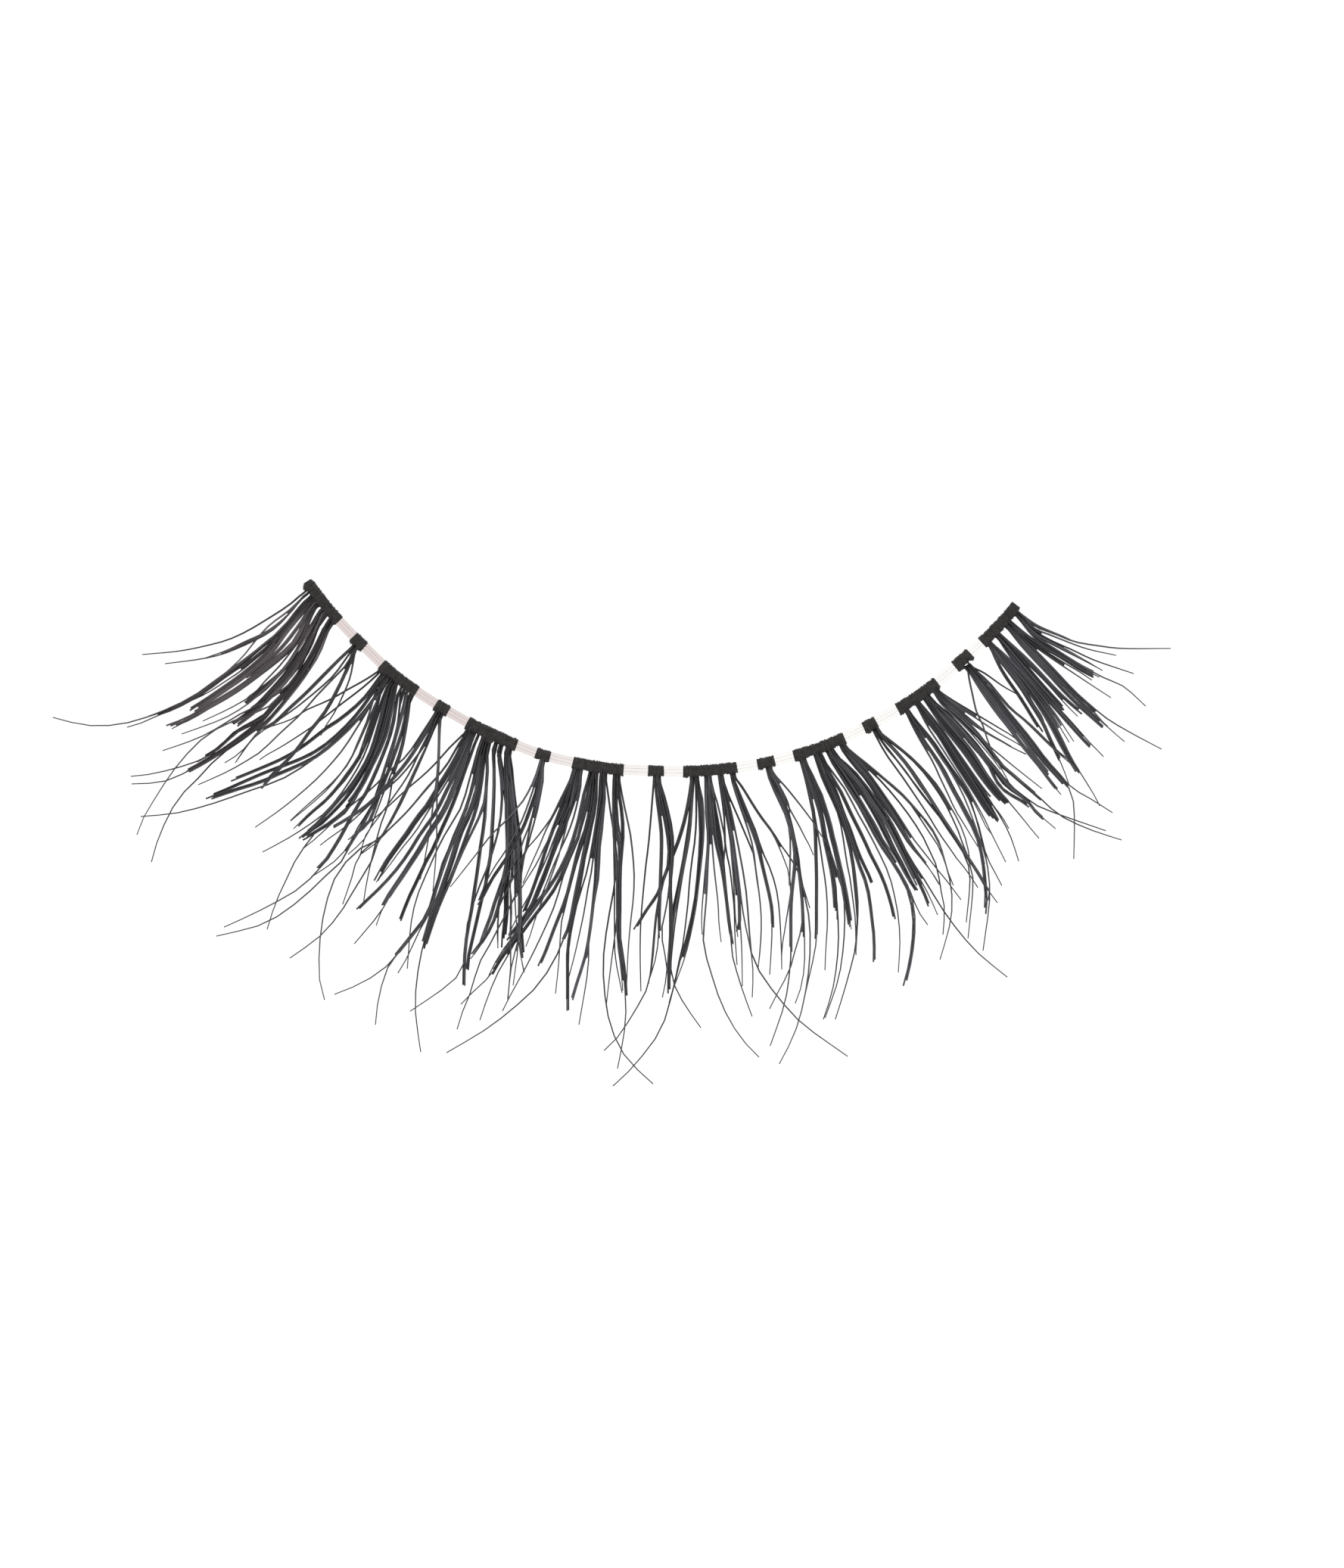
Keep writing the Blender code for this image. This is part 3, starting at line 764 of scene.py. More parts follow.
        Strand(1, (
            (869, 1028), (876, 1058), (881, 1080), (885, 1103), (884, 1125), (885, 1150),
            (884, 1175), (880, 1200), (874, 1232), (879, 1265), (881, 1285), (875, 1318),
        )),
        Strand(2, (
            (870, 1028), (878, 1055), (883, 1075), (887, 1095), (889, 1118), (888, 1142),
            (886, 1165), (886, 1200), (886, 1240), (884, 1275), (884, 1325),
        )),
        Strand(1, (
            (868, 1028), (874, 1058), (880, 1085), (887, 1110), (889, 1130), (887, 1165),
            (888, 1200), (887, 1245), (886, 1285), (887, 1294), (892, 1300),
        )),
        Strand(1, (
            (867, 1030), (874, 1110), (872, 1170), (866, 1225), (862, 1270), (856, 1303),
            (845, 1325), (828, 1353), (813, 1374), (798, 1388),
        )),
    ),
    "tuft_block_5": (
        Strand(2, (
            (914, 1029), (911, 1052), (906, 1078), (901, 1097), (894, 1118), (885, 1140),
            (877, 1161), (868, 1183), (856, 1200), (838, 1229),
        )),
        Strand(2, (
            (915, 1029), (913, 1055), (912, 1080), (909, 1103), (906, 1122), (903, 1140),
            (899, 1160), (895, 1180), (890, 1202), (887, 1225), (885, 1255), (882, 1290),
        )),
        Strand(1, (
            (917, 1029), (915, 1060), (913, 1090), (910, 1115), (905, 1140), (901, 1162),
            (897, 1187), (893, 1212), (889, 1245), (886, 1280), (885, 1305),
        )),
        Strand(1, (
            (919, 1029), (920, 1055), (920, 1085), (918, 1113), (914, 1140), (911, 1168),
            (909, 1195), (906, 1220), (902, 1250), (896, 1275), (891, 1300), (884, 1325),
        )),
        Strand(2, (
            (921, 1029), (924, 1050), (927, 1080), (927, 1110), (925, 1140), (922, 1165),
            (919, 1192), (914, 1220), (907, 1250), (898, 1273),
        )),
        Strand(1, (
            (922, 1030), (928, 1055), (930, 1085), (929, 1115), (926, 1145), (922, 1178),
            (917, 1212), (911, 1242), (904, 1268), (896, 1290), (890, 1306),
        )),
        Strand(1, (
            (921, 1029), (923, 1060), (925, 1100), (922, 1150), (917, 1195), (908, 1235),
            (899, 1268), (892, 1297), (884, 1328), (872, 1363), (836, 1410), (810, 1435),
        )),
        Strand(1, (
            (917, 1029), (911, 1095), (900, 1160), (890, 1215), (887, 1260), (887, 1285),
            (892, 1304), (905, 1328), (926, 1358),
        )),
        Strand(1, (
            (932, 1028), (932, 1050), (933, 1080), (935, 1105), (934, 1127), (932, 1147),
            (930, 1170), (928, 1195), (927, 1215), (928, 1235),
        )),
        Strand(1, (
            (935, 1028), (935, 1055), (936, 1085), (937, 1108), (936, 1130), (935, 1155),
            (934, 1180), (932, 1205), (930, 1228), (930, 1250), (941, 1290), (955, 1330),
            (978, 1370), (1003, 1397),
        )),
        Strand(1, (
            (937, 1028), (939, 1055), (939, 1085), (941, 1112), (943, 1140), (946, 1168),
            (949, 1195), (950, 1220), (953, 1245),
        )),
        Strand(2, (
            (937, 1028), (940, 1055), (942, 1080), (944, 1100), (947, 1117), (952, 1138),
            (956, 1160), (959, 1182), (962, 1205), (965, 1230), (968, 1248),
        )),
        Strand(2, (
            (938, 1028), (945, 1070), (952, 1110), (956, 1150), (960, 1190), (964, 1225),
            (969, 1248),
        )),
        Strand(1, (
            (938, 1028), (943, 1075), (948, 1112), (955, 1145), (960, 1180), (965, 1222),
            (968, 1262), (975, 1288), (983, 1313), (994, 1343),
        )),
        Strand(1, (
            (939, 1028), (944, 1050), (949, 1065), (953, 1085), (957, 1103), (958, 1120),
            (956, 1140), (956, 1165), (960, 1195), (964, 1222), (969, 1248),
        )),
        Strand(1, (
            (950, 1028), (954, 1055), (957, 1080), (958, 1105), (959, 1122), (964, 1145),
            (967, 1170), (970, 1200), (971, 1235), (974, 1275),
        )),
        Strand(2, (
            (951, 1028), (955, 1050), (960, 1075), (964, 1097), (967, 1118), (970, 1137),
            (973, 1160), (976, 1180), (977, 1200), (977, 1222), (973, 1236),
        )),
        Strand(1, ((952, 1028), (964, 1090), (972, 1150), (977, 1205), (980, 1250), (981, 1303))),
        Strand(1, ((953, 1028), (961, 1070), (966, 1120), (970, 1170), (972, 1215), (975, 1238))),
        Strand(1, (
            (953, 1028), (958, 1052), (963, 1077), (968, 1102), (972, 1130), (976, 1160),
            (979, 1185), (982, 1207), (987, 1233), (992, 1255), (995, 1285), (994, 1318),
        )),
        Strand(1, (
            (954, 1028), (961, 1052), (968, 1080), (973, 1105), (978, 1130), (982, 1152),
            (986, 1178), (988, 1200), (991, 1240), (994, 1265), (1003, 1283), (1022, 1310),
            (1057, 1350), (1120, 1396),
        )),
        Strand(1, (
            (955, 1028), (963, 1052), (971, 1070), (980, 1091), (988, 1110), (996, 1130),
            (999, 1155), (1003, 1180), (1006, 1215), (1005, 1250), (1002, 1278),
        )),
        Strand(1, (
            (966, 1027), (974, 1054), (982, 1077), (989, 1098), (995, 1120), (998, 1143),
            (1001, 1165), (1004, 1188), (1006, 1215), (1005, 1245), (1002, 1278),
        )),
        Strand(2, (
            (968, 1027), (977, 1055), (986, 1077), (994, 1097), (1001, 1117), (1007, 1142),
            (1012, 1163), (1016, 1180), (1020, 1203), (1021, 1235),
        )),
        Strand(1, (
            (969, 1027), (980, 1054), (990, 1078), (999, 1099), (1007, 1124), (1015, 1141),
            (1022, 1160), (1027, 1180), (1030, 1205), (1032, 1240), (1033, 1281),
        )),
        Strand(1, (
            (968, 1027), (985, 1070), (1000, 1105), (1010, 1150), (1018, 1190), (1020, 1225),
            (1019, 1255), (1017, 1288),
        )),
        Strand(1, (
            (970, 1026), (980, 1040), (992, 1060), (1005, 1080), (1020, 1100), (1029, 1118),
            (1036, 1135), (1042, 1152), (1043, 1170),
        )),
        Strand(1, (
            (971, 1026), (982, 1041), (993, 1059), (1006, 1079), (1021, 1099), (1032, 1117),
            (1043, 1132), (1052, 1147), (1059, 1165), (1070, 1200),
        )),
    ),
    "tuft_single_5": (
        Strand(1, (
            (1014, 1021), (1019, 1036), (1030, 1060), (1040, 1083), (1044, 1105), (1044, 1140),
            (1043, 1155), (1045, 1178), (1041, 1203), (1036, 1235), (1033, 1255), (1033, 1281),
        )),
        Strand(2, (
            (1016, 1021), (1022, 1036), (1033, 1059), (1041, 1080), (1046, 1100), (1050, 1120),
            (1050, 1145), (1047, 1172), (1045, 1200), (1045, 1230), (1045, 1266),
        )),
        Strand(1, (
            (1017, 1021), (1024, 1037), (1035, 1060), (1042, 1080), (1046, 1105), (1052, 1128),
            (1050, 1150), (1046, 1175), (1045, 1215), (1045, 1265), (1041, 1305), (1036, 1330),
            (1018, 1382),
        )),
        Strand(2, (
            (1017, 1021), (1026, 1040), (1036, 1062), (1043, 1082), (1049, 1108), (1054, 1132),
            (1056, 1150), (1058, 1170), (1060, 1190), (1061, 1215), (1061, 1240),
        )),
        Strand(1, (
            (1018, 1021), (1028, 1042), (1042, 1075), (1050, 1110), (1056, 1142), (1060, 1172),
            (1066, 1195), (1070, 1225), (1070, 1265), (1066, 1302), (1057, 1345), (1046, 1375),
            (1030, 1406),
        )),
        Strand(1, (
            (1016, 1021), (1040, 1075), (1048, 1115), (1056, 1155), (1060, 1190), (1060, 1222),
            (1050, 1258), (1043, 1283), (1030, 1307), (1017, 1333),
        )),
        Strand(1, (
            (1018, 1021), (1044, 1085), (1055, 1145), (1061, 1195), (1063, 1240), (1063, 1275),
            (1059, 1303), (1051, 1326),
        )),
        Strand(1, (
            (1019, 1020), (1031, 1040), (1037, 1055), (1043, 1068), (1057, 1093), (1063, 1105),
            (1070, 1118), (1075, 1130),
        )),
        Strand(1, (
            (1021, 1020), (1030, 1031), (1040, 1042), (1060, 1067), (1069, 1079), (1077, 1090),
            (1083, 1101), (1090, 1110), (1095, 1118),
        )),
        Strand(1, ((1020, 1020), (1028, 1034), (1036, 1049), (1042, 1063), (1043, 1075), (1042, 1090))),
    ),
    "tuft_block_6": (
        Strand(2, (
            (1059, 1008), (1063, 1022), (1067, 1038), (1071, 1056), (1075, 1075), (1077, 1095),
            (1078, 1125), (1079, 1160), (1079, 1200), (1079, 1230), (1078, 1250),
        )),
        Strand(1, (
            (1060, 1008), (1068, 1040), (1075, 1072), (1078, 1110), (1079, 1150), (1080, 1190),
            (1079, 1240), (1074, 1270), (1067, 1300), (1060, 1332),
        )),
        Strand(1, (
            (1061, 1009), (1069, 1038), (1075, 1068), (1080, 1097), (1084, 1120), (1087, 1142),
            (1091, 1168), (1093, 1195), (1093, 1225), (1091, 1255), (1090, 1282),
        )),
        Strand(2, (
            (1062, 1008), (1067, 1022), (1073, 1042), (1079, 1060), (1084, 1077), (1087, 1094),
            (1090, 1112), (1094, 1130), (1098, 1148), (1101, 1167), (1103, 1190), (1104, 1214),
        )),
        Strand(1, (
            (1064, 1008), (1074, 1036), (1081, 1058), (1086, 1078), (1090, 1097), (1093, 1115),
            (1097, 1132), (1101, 1150), (1105, 1172), (1106, 1195), (1106, 1215),
        )),
        Strand(1, (
            (1065, 1008), (1077, 1040), (1085, 1068), (1090, 1092), (1093, 1112), (1099, 1132),
            (1105, 1152), (1112, 1172), (1117, 1190), (1121, 1208), (1125, 1228),
        )),
        Strand(1, (
            (1063, 1008), (1080, 1062), (1090, 1105), (1098, 1140), (1104, 1175), (1107, 1210),
            (1108, 1240), (1105, 1280), (1099, 1313), (1088, 1347),
        )),
        Strand(1, (
            (1065, 1008), (1085, 1065), (1093, 1110), (1103, 1142), (1112, 1170), (1116, 1195),
            (1116, 1222), (1114, 1255), (1107, 1296), (1090, 1345),
        )),
        Strand(3, (
            (1064, 1008), (1070, 1020), (1079, 1040), (1085, 1053), (1090, 1070), (1095, 1085),
            (1099, 1103), (1104, 1122), (1108, 1140), (1113, 1160), (1118, 1185), (1122, 1210),
            (1125, 1232),
        )),
        Strand(1, (
            (1063, 1008), (1078, 1041), (1088, 1070), (1096, 1098), (1103, 1125), (1110, 1153),
            (1116, 1185), (1123, 1225),
        )),
        Strand(1, (
            (1078, 1003), (1084, 1022), (1092, 1041), (1101, 1060), (1109, 1080), (1113, 1100),
            (1116, 1120), (1119, 1140), (1123, 1160), (1127, 1190), (1130, 1215), (1131, 1262),
        )),
        Strand(1, (
            (1080, 1003), (1090, 1027), (1100, 1050), (1109, 1070), (1116, 1090), (1122, 1110),
            (1126, 1128), (1129, 1145), (1132, 1170), (1134, 1195), (1133, 1225), (1131, 1260),
        )),
        Strand(1, (
            (1079, 1003), (1096, 1045), (1112, 1085), (1124, 1130), (1130, 1180), (1133, 1220),
            (1130, 1255), (1124, 1280), (1115, 1312), (1104, 1347),
        )),
        Strand(2, (
            (1081, 1003), (1092, 1026), (1103, 1050), (1112, 1072), (1119, 1092), (1125, 1110),
            (1131, 1130), (1138, 1150), (1145, 1168), (1149, 1188), (1152, 1212), (1155, 1240),
            (1155, 1282),
        )),
        Strand(1, ((1083, 1003), (1093, 1030), (1104, 1055), (1112, 1078), (1118, 1098))),
        Strand(2, (
            (1083, 1003), (1096, 1028), (1106, 1050), (1114, 1073), (1123, 1095), (1130, 1115),
            (1137, 1133), (1145, 1150), (1151, 1163), (1154, 1174),
        )),
        Strand(2, (
            (1085, 1003), (1096, 1021), (1106, 1038), (1113, 1050), (1122, 1070), (1132, 1090),
            (1142, 1110), (1151, 1130), (1162, 1151), (1170, 1170), (1179, 1200), (1184, 1226),
        )),
        Strand(1, (
            (1087, 1001), (1100, 1020), (1115, 1040), (1126, 1060), (1137, 1081), (1148, 1100),
            (1158, 1120), (1168, 1140), (1176, 1160), (1181, 1180), (1186, 1205), (1189, 1240),
            (1187, 1285),
        )),
        Strand(2, (
            (1094, 998), (1108, 1020), (1120, 1040), (1133, 1060), (1144, 1080), (1154, 1099),
            (1165, 1118), (1177, 1135), (1189, 1154), (1200, 1175), (1206, 1198), (1208, 1222),
            (1205, 1258), (1198, 1292), (1190, 1317),
        )),
        Strand(1, (
            (1096, 998), (1112, 1020), (1124, 1040), (1136, 1060), (1147, 1080), (1157, 1098),
            (1168, 1117), (1180, 1137), (1192, 1157), (1203, 1178), (1213, 1203), (1226, 1222),
        )),
        Strand(1, (
            (1097, 997), (1114, 1020), (1127, 1040), (1139, 1060), (1149, 1077), (1157, 1090),
            (1162, 1100), (1167, 1110), (1174, 1120), (1183, 1133), (1192, 1148), (1201, 1163),
        )),
        Strand(1, (
            (1098, 997), (1116, 1019), (1130, 1039), (1145, 1060), (1156, 1080), (1166, 1098),
            (1176, 1115), (1186, 1130), (1195, 1145), (1203, 1160),
        )),
        Strand(1, (
            (1099, 996), (1118, 1019), (1137, 1040), (1150, 1060), (1163, 1081), (1173, 1100),
            (1182, 1120), (1193, 1140), (1203, 1160), (1211, 1175),
        )),
        Strand(2, (
            (1099, 996), (1130, 1035), (1155, 1075), (1172, 1108), (1188, 1138), (1200, 1160),
            (1212, 1178),
        )),
        Strand(2, (
            (1100, 996), (1122, 1019), (1139, 1039), (1153, 1060), (1167, 1081), (1177, 1099),
            (1187, 1119), (1197, 1139), (1207, 1159), (1213, 1170),
        )),
        Strand(2, (
            (1101, 995), (1126, 1019), (1143, 1040), (1157, 1060), (1171, 1080), (1181, 1099),
            (1190, 1118), (1200, 1138), (1211, 1159), (1221, 1180), (1230, 1203),
        )),
        Strand(1, (
            (1102, 995), (1129, 1019), (1145, 1039), (1160, 1060), (1174, 1079), (1185, 1099),
            (1194, 1118), (1203, 1139), (1215, 1160), (1227, 1182), (1239, 1209),
        )),
        Strand(1, (
            (1101, 995), (1131, 1022), (1155, 1052), (1175, 1081), (1189, 1108), (1200, 1130),
            (1207, 1141), (1220, 1160), (1231, 1178), (1246, 1202), (1257, 1218), (1290, 1257),
            (1331, 1291),
        )),
        Strand(1, (
            (1111, 988), (1127, 1010), (1144, 1030), (1157, 1050), (1171, 1070), (1185, 1090),
            (1197, 1110), (1206, 1122), (1214, 1131), (1226, 1146), (1236, 1160), (1242, 1170),
        )),
        Strand(1, (
            (1112, 987), (1131, 1010), (1148, 1030), (1161, 1050), (1175, 1070), (1188, 1090),
            (1200, 1110), (1209, 1123), (1218, 1134), (1228, 1148), (1241, 1169),
        )),
        Strand(1, (
            (1113, 987), (1135, 1010), (1151, 1030), (1165, 1050), (1179, 1070), (1191, 1090),
            (1202, 1110), (1210, 1122), (1224, 1140),
        )),
        Strand(1, (
            (1114, 987), (1138, 1010), (1154, 1030), (1168, 1050), (1182, 1070), (1195, 1090),
            (1208, 1110), (1224, 1130), (1237, 1147), (1248, 1160), (1258, 1173), (1270, 1189),
        )),
        Strand(1, (
            (1114, 986), (1142, 1011), (1163, 1031), (1180, 1050), (1196, 1070), (1210, 1090),
            (1222, 1110), (1231, 1130), (1239, 1148), (1242, 1170), (1248, 1200), (1246, 1235),
        )),
        Strand(1, (
            (1115, 986), (1139, 1007), (1160, 1023), (1181, 1041), (1201, 1060), (1215, 1080),
            (1228, 1100), (1241, 1120), (1249, 1141), (1255, 1160), (1257, 1178),
        )),
        Strand(1, (
            (1116, 985), (1150, 1013), (1171, 1031), (1191, 1048), (1211, 1070), (1228, 1090),
            (1240, 1110), (1246, 1130), (1252, 1150), (1260, 1170),
        )),
        Strand(1, (
            (1115, 985), (1145, 1010), (1170, 1031), (1190, 1049), (1206, 1065), (1225, 1088),
            (1240, 1112), (1249, 1140), (1256, 1168), (1258, 1195), (1255, 1222), (1242, 1268),
        )),
    ),
    "tuft_single_6": (
        Strand(1, (
            (1155, 967), (1161, 979), (1172, 998), (1190, 1023), (1209, 1051), (1228, 1080),
            (1240, 1100), (1254, 1120), (1268, 1140), (1277, 1150), (1283, 1159), (1292, 1173),
        )),
        Strand(1, (
            (1157, 967), (1168, 985), (1181, 1000), (1197, 1020), (1211, 1040), (1226, 1060),
            (1242, 1080), (1255, 1100), (1269, 1120), (1279, 1140), (1282, 1165), (1277, 1219),
        )),
        Strand(1, (
            (1158, 967), (1172, 982), (1189, 1000), (1204, 1020), (1217, 1040), (1232, 1060),
            (1245, 1080), (1259, 1100), (1271, 1120), (1281, 1140), (1286, 1165), (1279, 1240),
        )),
        Strand(1, (
            (1159, 966), (1180, 983), (1201, 1000), (1220, 1020), (1235, 1040), (1248, 1060),
            (1258, 1080), (1267, 1100), (1274, 1120), (1284, 1142), (1296, 1162), (1309, 1181),
            (1318, 1193),
        )),
        Strand(1, (
            (1161, 966), (1181, 982), (1203, 1000), (1223, 1020), (1240, 1040), (1252, 1060),
            (1264, 1080), (1273, 1100), (1279, 1120), (1282, 1140), (1290, 1151), (1300, 1166),
        )),
        Strand(1, (
            (1156, 967), (1180, 998), (1215, 1044), (1245, 1083), (1262, 1108), (1280, 1134),
            (1292, 1152), (1303, 1170),
        )),
        Strand(1, (
            (1160, 966), (1190, 1000), (1230, 1056), (1260, 1100), (1283, 1138), (1297, 1160),
            (1308, 1178),
        )),
        Strand(2, ((1160, 966), (1200, 1012), (1240, 1072), (1270, 1120), (1290, 1150), (1303, 1172))),
    ),
    "tuft_block_7": (
        Strand(1, (
            (1198, 942), (1205, 957), (1215, 976), (1225, 993), (1234, 1009), (1242, 1027),
            (1251, 1046), (1262, 1070), (1270, 1083), (1282, 1103), (1292, 1119),
        )),
        Strand(2, (
            (1199, 942), (1207, 957), (1218, 975), (1229, 991), (1239, 1006), (1248, 1022),
            (1257, 1040), (1268, 1060), (1279, 1081), (1288, 1098), (1294, 1115), (1299, 1140),
            (1302, 1170), (1303, 1188), (1300, 1221),
        )),
        Strand(1, (
            (1202, 941), (1240, 995), (1270, 1045), (1290, 1095), (1303, 1135), (1308, 1170),
            (1306, 1190),
        )),
        Strand(1, (
            (1200, 942), (1209, 957), (1220, 975), (1231, 991), (1242, 1007), (1251, 1022),
            (1260, 1040), (1271, 1060), (1282, 1081), (1291, 1099), (1296, 1118), (1301, 1142),
        )),
        Strand(1, (
            (1201, 941), (1211, 955), (1222, 970), (1233, 985), (1242, 999), (1251, 1012),
            (1262, 1027), (1273, 1043), (1283, 1060), (1289, 1078), (1294, 1097), (1300, 1120),
            (1305, 1145), (1308, 1185), (1299, 1256),
        )),
        Strand(1, (
            (1202, 941), (1213, 955), (1225, 969), (1236, 983), (1246, 998), (1255, 1011),
            (1266, 1026), (1277, 1042), (1287, 1060), (1297, 1080), (1306, 1098), (1311, 1103),
        )),
        Strand(1, (
            (1202, 941), (1240, 990), (1275, 1045), (1293, 1090), (1301, 1122), (1307, 1138),
            (1315, 1153), (1324, 1170),
        )),
        Strand(1, (
            (1211, 932), (1217, 943), (1224, 957), (1232, 970), (1241, 983), (1252, 1000),
            (1265, 1020), (1278, 1040), (1289, 1060), (1300, 1080), (1310, 1101), (1321, 1123),
            (1329, 1139),
        )),
        Strand(2, (
            (1212, 932), (1219, 943), (1229, 957), (1240, 971), (1251, 989), (1263, 1009),
            (1276, 1029), (1289, 1049), (1301, 1068), (1313, 1084),
        )),
        Strand(2, (
            (1213, 931), (1222, 943), (1233, 957), (1244, 971), (1256, 989), (1268, 1008),
            (1281, 1028), (1294, 1048), (1306, 1068), (1318, 1084),
        )),
        Strand(2, (
            (1214, 931), (1224, 943), (1235, 957), (1246, 971), (1257, 989), (1270, 1008),
            (1284, 1028), (1298, 1048), (1311, 1070), (1322, 1091),
        )),
        Strand(1, (
            (1215, 930), (1226, 943), (1237, 957), (1248, 971), (1260, 989), (1274, 1009),
            (1288, 1029), (1302, 1048), (1316, 1070), (1328, 1090), (1337, 1110), (1346, 1138),
        )),
        Strand(1, (
            (1215, 930), (1235, 957), (1258, 989), (1287, 1030), (1307, 1058), (1323, 1078),
            (1333, 1095),
        )),
        Strand(2, (
            (1216, 930), (1228, 944), (1239, 958), (1250, 973), (1261, 989), (1275, 1009),
            (1289, 1029), (1300, 1044), (1310, 1056),
        )),
        Strand(3, (
            (1224, 926), (1233, 939), (1244, 955), (1256, 970), (1268, 985), (1280, 1001),
            (1292, 1019), (1307, 1039), (1319, 1053), (1332, 1066),
        )),
        Strand(3, (
            (1226, 925), (1237, 939), (1250, 955), (1263, 970), (1276, 985), (1288, 1001),
            (1299, 1019), (1312, 1038), (1324, 1052), (1337, 1066),
        )),
        Strand(1, (
            (1227, 925), (1254, 955), (1279, 985), (1303, 1021), (1320, 1044), (1340, 1068),
            (1350, 1080), (1362, 1095), (1373, 1108),
        )),
        Strand(2, (
            (1228, 924), (1242, 938), (1257, 954), (1271, 969), (1285, 984), (1297, 999),
            (1306, 1010), (1315, 1029), (1323, 1041), (1335, 1050), (1351, 1059), (1362, 1067),
        )),
        Strand(2, (
            (1229, 924), (1244, 938), (1259, 954), (1273, 970), (1285, 985), (1298, 999),
            (1308, 1010), (1317, 1022), (1329, 1038), (1343, 1048), (1357, 1058), (1368, 1072),
            (1381, 1084),
        )),
        Strand(1, (
            (1229, 924), (1260, 953), (1287, 984), (1311, 1010), (1332, 1038), (1352, 1055),
            (1365, 1068), (1382, 1084), (1395, 1095),
        )),
        Strand(1, (
            (1230, 923), (1246, 936), (1263, 952), (1278, 968), (1292, 984), (1304, 1000),
            (1315, 1013), (1327, 1028), (1340, 1042), (1354, 1053), (1363, 1061), (1390, 1073),
            (1461, 1098),
        )),
        Strand(2, (
            (1236, 916), (1246, 929), (1258, 940), (1271, 952), (1283, 964), (1294, 975),
            (1304, 987), (1314, 1000), (1323, 1011), (1335, 1021), (1350, 1034), (1363, 1045),
            (1377, 1057),
        )),
        Strand(1, (
            (1237, 916), (1255, 935), (1276, 954), (1296, 974), (1309, 989), (1323, 1009),
            (1345, 1029), (1375, 1055), (1400, 1077), (1440, 1096), (1482, 1110),
        )),
        Strand(1, (
            (1235, 916), (1243, 929), (1256, 942), (1268, 953), (1280, 965), (1292, 979),
            (1302, 991), (1312, 1003), (1322, 1017),
        )),
        Strand(1, (
            (1238, 916), (1250, 929), (1270, 946), (1290, 966), (1304, 983), (1318, 995),
            (1335, 1009), (1350, 1021), (1377, 1042),
        )),
        Strand(1, (
            (1241, 913), (1260, 926), (1280, 938), (1300, 950), (1320, 962), (1338, 973),
            (1352, 985),
        )),
        Strand(1, (
            (1242, 914), (1262, 931), (1285, 946), (1303, 958), (1322, 970), (1340, 980),
            (1353, 988),
        )),
        Strand(1, (
            (1240, 915), (1256, 930), (1273, 943), (1284, 952), (1303, 967), (1322, 978),
            (1338, 988), (1355, 996),
        )),
        Strand(1, (
            (1239, 916), (1255, 932), (1272, 947), (1290, 960), (1308, 971), (1326, 981),
            (1342, 990), (1356, 997),
        )),
    ),
    "tuft_single_7": (
        Strand(1, (
            (1279, 887), (1281, 900), (1285, 918), (1290, 940), (1298, 957), (1305, 978),
            (1313, 997), (1323, 1015), (1333, 1033),
        )),
        Strand(1, (
            (1281, 888), (1293, 908), (1305, 926), (1317, 943), (1332, 962), (1346, 981),
            (1360, 999), (1375, 1017), (1390, 1036), (1402, 1050),
        )),
        Strand(2, (
            (1282, 888), (1294, 906), (1308, 926), (1322, 946), (1337, 965), (1351, 984),
            (1366, 1003), (1378, 1019), (1390, 1035), (1402, 1050),
        )),
        Strand(2, (
            (1283, 887), (1298, 906), (1313, 926), (1327, 945), (1342, 964), (1357, 984),
            (1370, 1003), (1381, 1016), (1391, 1029),
        )),
        Strand(3, (
            (1284, 887), (1302, 906), (1317, 925), (1332, 944), (1347, 963), (1362, 982),
            (1376, 1001), (1390, 1017), (1403, 1031), (1415, 1045),
        )),
        Strand(1, (
            (1285, 886), (1305, 906), (1321, 925), (1336, 944), (1352, 963), (1367, 982),
            (1381, 1001), (1394, 1016), (1406, 1029), (1416, 1041), (1440, 1055), (1470, 1074),
        )),
        Strand(1, (
            (1284, 887), (1315, 922), (1345, 960), (1375, 999), (1400, 1027), (1412, 1040),
            (1418, 1055), (1420, 1085), (1419, 1135),
        )),
        Strand(1, (
            (1287, 885), (1304, 901), (1320, 920), (1334, 936), (1350, 949), (1365, 963),
            (1381, 979), (1397, 994), (1409, 1004), (1419, 1013), (1426, 1022),
        )),
        Strand(1, (
            (1288, 885), (1306, 901), (1322, 920), (1337, 937), (1352, 949), (1367, 962),
            (1383, 978), (1399, 993), (1411, 1003), (1420, 1011), (1426, 1021),
        )),
        Strand(1, ((1284, 881), (1300, 889), (1326, 907), (1347, 919), (1352, 924))),
    ),
    "tuft_block_8": (
        Strand(2, (
            (1309, 855), (1315, 868), (1323, 884), (1333, 900), (1345, 917), (1357, 936),
            (1366, 951), (1377, 968),
        )),
        Strand(2, (
            (1310, 855), (1320, 871), (1331, 885), (1341, 898), (1351, 912), (1361, 928),
            (1370, 942), (1379, 957), (1386, 973), (1394, 990), (1401, 1005),
        )),
        Strand(1, (
            (1310, 855), (1331, 886), (1352, 913), (1371, 943), (1386, 972), (1394, 990),
            (1402, 1008), (1410, 1028), (1413, 1037),
        )),
        Strand(1, (
            (1311, 855), (1324, 872), (1336, 886), (1347, 900), (1357, 915), (1367, 932),
            (1377, 947), (1381, 960),
        )),
        Strand(3, (
            (1312, 854), (1327, 873), (1341, 888), (1353, 903), (1365, 919), (1377, 937),
